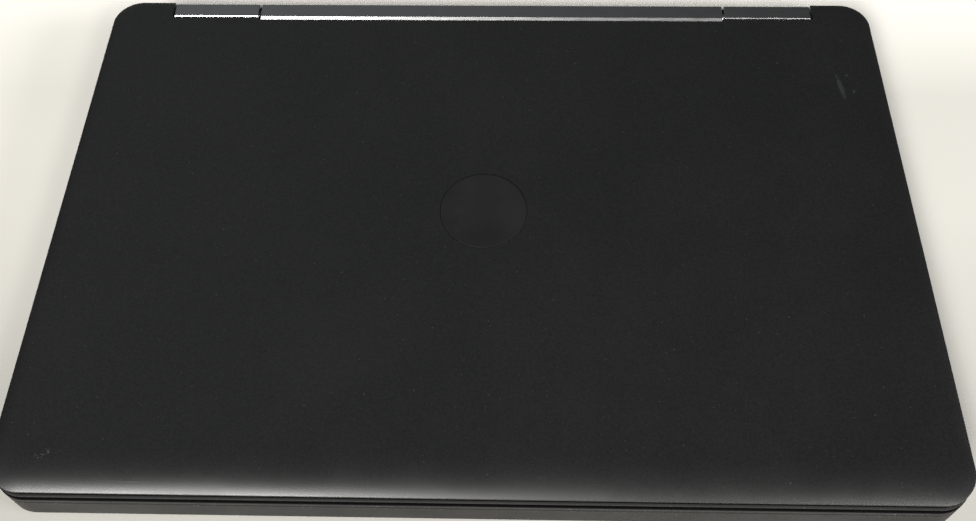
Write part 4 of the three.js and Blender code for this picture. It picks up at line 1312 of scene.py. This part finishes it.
def add_text(bm, text, x, y, size, z):
    """Adds flat lettering, from its lower left corner."""
    curve = bpy.data.curves.new("text", "FONT")
    curve.body = text
    curve.size = size * MM
    curve.extrude = 0.012 * MM
    curve.resolution_u = 2
    curve.fill_mode = "BOTH"
    holder = add_object("text", curve)
    holder.location = (x * MM, y * MM, z * MM)
    bpy.context.view_layer.update()
    graph = bpy.context.evaluated_depsgraph_get()
    mesh = bpy.data.meshes.new_from_object(holder.evaluated_get(graph))
    mesh.transform(holder.matrix_world)
    bm.from_mesh(mesh)
    bpy.data.objects.remove(holder)
    bpy.data.curves.remove(curve)
    bpy.data.meshes.remove(mesh)


ARROW_ANGLES = {"<": 180, "v": 270, ">": 0, "^": 90}


def add_arrow(bm, x, y, degrees, z):
    """A small solid triangle in metres, pointing the given way."""
    points = [(1.1, 0), (-0.7, 0.95), (-0.7, -0.95)]
    turn = math.radians(degrees)
    low, high = [], []
    for px, py in points:
        qx = x + px * math.cos(turn) - py * math.sin(turn)
        qy = y + px * math.sin(turn) + py * math.cos(turn)
        low.append(bm.verts.new((qx * MM, qy * MM, (z - 0.012) * MM)))
        high.append(bm.verts.new((qx * MM, qy * MM, (z + 0.012) * MM)))
    bm.faces.new(list(reversed(low)))
    bm.faces.new(high)
    for i in range(3):
        j = (i + 1) % 3
        bm.faces.new((low[i], low[j], high[j], high[i]))


def legends(name, keys, names):
    """The printed marks on one block of keys, as one piece."""
    bm = bmesh.new()
    z = KEY_TOP - 0.02
    for (x, y, width, depth), text in zip(keys, names):
        left = x + KEY_GAP / 2 + 3.4
        if not text:
            continue
        if name == "arrow_keys":
            add_arrow(bm, x + width / 2, y + depth / 2, ARROW_ANGLES[text], z - 0.03)
        elif len(text) == 3 and text[1] == " ":
            add_text(bm, text[0], left, y + 3.6, 3.6, z)
            add_text(bm, text[2], left, y + 9.9, 3.6, z)
        elif len(text) == 1 and text.isalpha() and text.isupper():
            add_text(bm, text, left, y + 9.2, 4.4, z)
        elif depth < UNIT * 0.8:
            add_text(bm, text, left - 0.4, y + 4.6, 3.0, z)
        elif len(text) == 1:
            add_text(bm, text, left, y + depth - 9.2, 4.2, z)
        else:
            add_text(bm, text, left, y + depth - 8.6, 2.9, z)
    place(mesh_object(f"{name}_legends", bm), name, "ink", "key_plastic")


def keyboard():
    """Every block of keys: one cap for each key, on a thin carrier where there are several."""
    for name, (keys, names) in key_layout().items():
        bm = bmesh.new()
        for key in keys:
            add_cap(bm, *key)
        if len(keys) > 1:
            edge = KEY_GAP / 2 + 0.4
            x0 = min(k[0] for k in keys) + edge
            x1 = max(k[0] + k[2] for k in keys) - edge
            y0 = min(k[1] for k in keys) + edge
            y1 = max(k[1] + k[3] for k in keys) - edge
            carrier = level([(x0, y0), (x1, y0), (x1, y1), (x0, y1)], KEY_BOTTOM + 0.05)
            add_loft(bm, [carrier, [(x, y, KEY_BOTTOM + 0.6) for x, y, _ in carrier]])
        caps = smooth(link_mesh(f"{name}_caps", bm), 50)
        place(caps, name, "keys", "key_plastic", name)
        if any(names):
            legends(name, keys, names)


# ------------------------------------------------------------------ sockets and ports
def grown(block, by):
    """A block a little larger all round."""
    x0, x1, y0, y1, z0, z1 = block
    return x0 - by, x1 + by, y0 - by, y1 + by, z0 - by, z1 + by


def narrowed(mouth, by):
    """A socket's opening a little narrower. It keeps its length, so that it stays open."""
    x0, x1, y0, y1, z0, z1 = mouth
    if at_rear(mouth):
        return x0 + by, x1 - by, y0 + by, y1, z0 + by, z1 - by
    return x0, x1, y0 + by, y1 - by, z0 + by, z1 - by


def sockets():
    """Metal shells, plastic tongues and gilt contacts, then the inlet and the audio jack."""
    for name, (shell, mouth) in SOCKETS.items():
        made = box(*grown(shell, 0.08), name=f"{name}_shell")
        cut(made, [box(*narrowed(mouth, 0.08))])
        replaced = ["network_socket"] if name == "network" else []
        place(soften(made, 0.15), "base", "steel", "steel", *replaced)
        tongue = box(*grown(TONGUES[name], 0.06), name=f"{name}_tongue")
        colour = "blue" if name == "video" else "black"
        place(soften(tongue, 0.12), "base", colour, "inner_plastic")
    contacts = []
    for x0, x1, start in ((-187.2, -179, 66.6), (179, 187.2, 70.6)):
        contacts += [box(x0, x1, start + y, start + y + 1, 7.5, 7.62) for y in (0, 2.5, 5, 7.5)]
    contacts += [box(-163.4 + i, -163 + i, 112, 121, 12.0, 12.22) for i in range(8)]
    place(join(contacts, "socket_contacts"), "base", "gold", "steel")
    holes = []
    for row, first in enumerate((128.6, 129.9, 128.6)):
        for x in [first + i * 2.6 for i in range(5)]:
            holes.append(rod("y", 0.45, 120, 123.7, (x, 7.0 + row * 1.5), 12))
    place(join(holes, "video_contacts"), "base", "gold", "steel")
    for i, x in enumerate((122.4, 146.6)):
        nut = rod("y", 2.3, 124.5, 125.1, (x, 8.5), 6, name=f"video_nut_{i + 1}")
        cut(nut, [rod("y", 1.2, 124, 126, (x, 8.5), 24)])
        place(soften(nut, 0.15), "base", "steel", "steel")

    inlet = rod("y", 4.1, 107.9, 124.8, INLET, 48, name="power_inlet_shell")
    cut(inlet, [rod("y", 3.1, 112.1, 126, INLET, 48)])
    place(soften(inlet, 0.2), "base", "black", "inner_plastic")
    pin = rod("y", 0.9, 111, 123.7, INLET, 24, name="power_inlet_pin")
    place(soften(pin, 0.2), "base", "steel", "steel")

    jack = rod("x", 2.9, -189.3, -181, AUDIO, 48, name="audio_jack_ring")
    cut(jack, [rod("x", 1.8, -190, -182, AUDIO, 48)])
    place(soften(jack, 0.25), "base", "black", "inner_plastic")


# ------------------------------------------------------------------ battery, drive and latch
def battery():
    """The battery pack with its contact slots, and the latch that holds it."""
    x0, x1, y0, y1 = BATTERY
    rows = (
        (0.5, 1.2, BASE_BOTTOM + 0.1),
        (0, 1.5, BASE_BOTTOM + 0.6),
        (0, 1.5, BATTERY_TOP - 0.4),
        (0.4, 1.2, BATTERY_TOP),
    )
    pack = plate("battery_shell", BATTERY, 4, rows)
    cut(pack, [box(x0 - 1, x1 + 1, y1 - 1.2, y1 + 1, 0, 4)])
    cut(pack, [box(x0 + x, x0 + x + 66, y0 + 8, y1 - 6, 13.15, 14) for x in (30, 100)])
    steps = [i * CONTACT_PITCH for i in range(CONTACT_COUNT)]
    cut(pack, [box(-14 + x, -12.2 + x, y0 - 1, y0 + 4, 6, 11) for x in steps])
    name = "battery_pack"
    place(soften(pack, 0.25), name, "battery", "battery_plastic", name)
    blades = [box(-13.3 + x, -12.9 + x, y0 + 0.4, y0 + 4, 6.2, 10.8) for x in steps]
    place(join(blades, "battery_contacts"), name, "gold", "steel")

    name = "battery_latch"
    low = BASE_BOTTOM + 0.15
    latch = box(LATCH_X - 8, LATCH_X + 6, *LATCH_Y, low, 3.9, name="latch_slider")
    grips = [LATCH_X + x for x in (-5, -3, -1, 1, 3)]
    cut(latch, [box(x - 0.5, x + 0.5, 67.5, 71.3, 0, 2.7) for x in grips])
    place(soften(latch, 0.25), name, "inner", "inner_plastic", name)


def facing_x(name, edges, radius, rows):
    """A rounded plate that faces +X. Each row is an inset of its Y and Z edges and its x."""
    rings = [rounded(*drawn_in(edges, inset), radius, 4) for inset, _ in rows]
    return loft(name, [[(x, y, z) for y, z in ring] for ring, (_, x) in zip(rings, rows)])


def disc_drive():
    """The disc tray with its well, spindle and lens, its front and the eject button."""
    x0, x1, y0, y1 = DRIVE
    name = "optical_tray"
    centre = (x0 + 66, (y0 + y1) / 2)
    tray = box(x0 + 2, x1 + 1, y0 + 1.6, y1 - 1.6, 6, 9.4, name="disc_tray")
    disc, small_disc, hub = 60.4, 41, 10
    well = rod("z", disc, 7.4, 12, centre, 160)
    cut(well, [rod("z", hub, 7, 11, centre, 64)])
    groove = rod("z", small_disc, 7.1, 7.6, centre, 128)
    cut(groove, [rod("z", small_disc - 1, 7, 8, centre, 128)])
    slot = prism("slot", rounded(centre[0] + 14, centre[0] + 52, -8, 0, 3, 6), 5, 10)
    for tool in (well, slot, groove):
        cut(tray, [tool])
    place(soften(tray, 0.2), name, "inner", "inner_plastic", name)

    face = WIDTH / 2
    rows = ((0, x1), (0, face - 0.5), (0.12, face - 0.2), (0.35, face - 0.1))
    front = facing_x("tray_bezel", (y0 + 0.8, y1 - 0.8, 4.4, 13.7), 0.8, rows)
    cut(front, [box(184, 190, -30.3, -20.7, 9.3, 12.1)])
    cut(front, [rod("x", 0.8, 184, 190, (-48, 10.7), 16)])
    place(soften(front, 0.12, 2, 50), name, "shell", "inner_plastic")
    steps = ((9.6, 9.2, 9.8), (7.2, 9.6, 10.9), (3.0, 10.7, 11.5))
    spindle = join([rod("z", *step, centre, 48) for step in steps], "tray_spindle")
    place(soften(spindle, 0.3), name, "steel", "steel")
    lens = prism("tray_lens", rounded(centre[0] + 22, centre[0] + 34, -7, -1, 1.5, 5), 6.2, 8.2)
    place(soften(lens, 0.3), name, "black", "inner_plastic")

    rows = ((0, 187.6), (0, 189.1), (0.15, 189.35), (0.4, 189.45))
    button = facing_x("eject_cap", (-30, -21, 9.6, 11.8), 0.7, rows)
    place(smooth(button, 40), "eject_button", "keys", "key_plastic", "eject_button")


def carried_over():
    """CAD nodes that stay as they are get a bevel and a procedural material."""
    hinges = [f"{side}_hinge_{part}" for side in ("left", "right") for part in ("arm", "mount")]
    finishes = {
        "steel": (*hinges, "optical_drive_case"),
        "dark_alloy": ("keyboard_plate",),
        "alloy": ("hard_drive",),
        "board": ("motherboard", "memory_module", "audio_board", "webcam_module"),
        "copper": ("heatsink",),
        "inner": ("fan_housing", "fan_rotor", "left_speaker", "right_speaker"),
    }
    for material, nodes in finishes.items():
        for name in nodes:
            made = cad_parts[name]
            made.data.materials.clear()
            made.data.materials.append(look[material])
            weld = made.modifiers.new("weld", "WELD")
            weld.merge_threshold = 0.01 * MM
            flat = made.modifiers.new("flat", "DECIMATE")
            flat.decimate_type = "DISSOLVE"
            flat.angle_limit = math.radians(1)
            bevel = made.modifiers.new("bevel", "BEVEL")
            bevel.width = 0.2 * MM
            bevel.segments = 2
            bevel.limit_method = "ANGLE"
            bevel.angle_limit = math.radians(40)


# ------------------------------------------------------------------ surroundings
def surroundings():
    """The table, the room and the three lamps."""
    bm = bmesh.new()
    bmesh.ops.create_grid(bm, x_segments=8, y_segments=8, size=1)
    table = mesh_object("table", bm)
    table.data.transform(Matrix.Scale(6, 4))
    table.data.materials.append(look["table"])

    room()
    lamp("window_light", (-0.92, -2.08, 2.2), (0, -0.1, 0), (1.05, 0.85), 150, (1.0, 0.985, 0.96))
    lamp("front_right_light", (1.4, -1.95, 2.0), (0.05, -0.1, 0), (0.6, 0.6), 34, (1.0, 0.98, 0.95))
    lamp("right_light", (3.0, -0.9, 1.4), (0.1, 0, 0), (1.4, 1.0), 95, (0.99, 0.99, 1.0))


def room():
    """A dim room, lighter overhead to the left and dark near the horizon on both sides."""
    world = bpy.data.worlds.new("room")
    bpy.context.scene.world = world
    world.use_nodes = True
    nodes = world.node_tree.nodes
    link = world.node_tree.links.new
    direction = nodes.new("ShaderNodeTexCoord").outputs["Generated"]
    split = nodes.new("ShaderNodeSeparateXYZ")
    link(direction, split.inputs["Vector"])
    overhead = nodes.new("ShaderNodeMapRange")
    side = nodes.new("ShaderNodeMapRange")
    for ramp, values in ((overhead, (-0.4, 0.32, 0.21, 0.055)), (side, (-0.8, -0.4, 0.2, 1.0))):
        for key, value in zip(RANGE_SOCKETS, values):
            ramp.inputs[key].default_value = value
        link(split.outputs["X"], ramp.inputs["Value"])
    strength = nodes.new("ShaderNodeMath")
    strength.operation = "MULTIPLY"
    link(overhead.outputs["Result"], strength.inputs[0])
    link(side.outputs["Result"], strength.inputs[1])
    background = nodes["Background"]
    background.inputs["Color"].default_value = (0.95, 0.97, 1.0, 1)
    link(strength.outputs["Value"], background.inputs["Strength"])


def lamp(name, position, target, size, power, color):
    """A soft rectangular light that faces its target."""
    data = bpy.data.lights.new(name, "AREA")
    data.shape = "RECTANGLE"
    data.size, data.size_y = size
    data.energy = power
    data.color = color
    made = add_object(name, data)
    made.location = position
    aim = Vector(target) - Vector(position)
    made.rotation_euler = aim.to_track_quat("-Z", "Y").to_euler()


# ------------------------------------------------------------------ build
lid_cover()
lid_badge()
hinge_strip()
screen_bezel()
seam_shadows()
display()
bottom_shell()
underside()
top_shell()
fittings()
keyboard()
sockets()
battery()
disc_drive()
carried_over()
surroundings()

bpy.context.scene.view_settings.view_transform = "Standard"
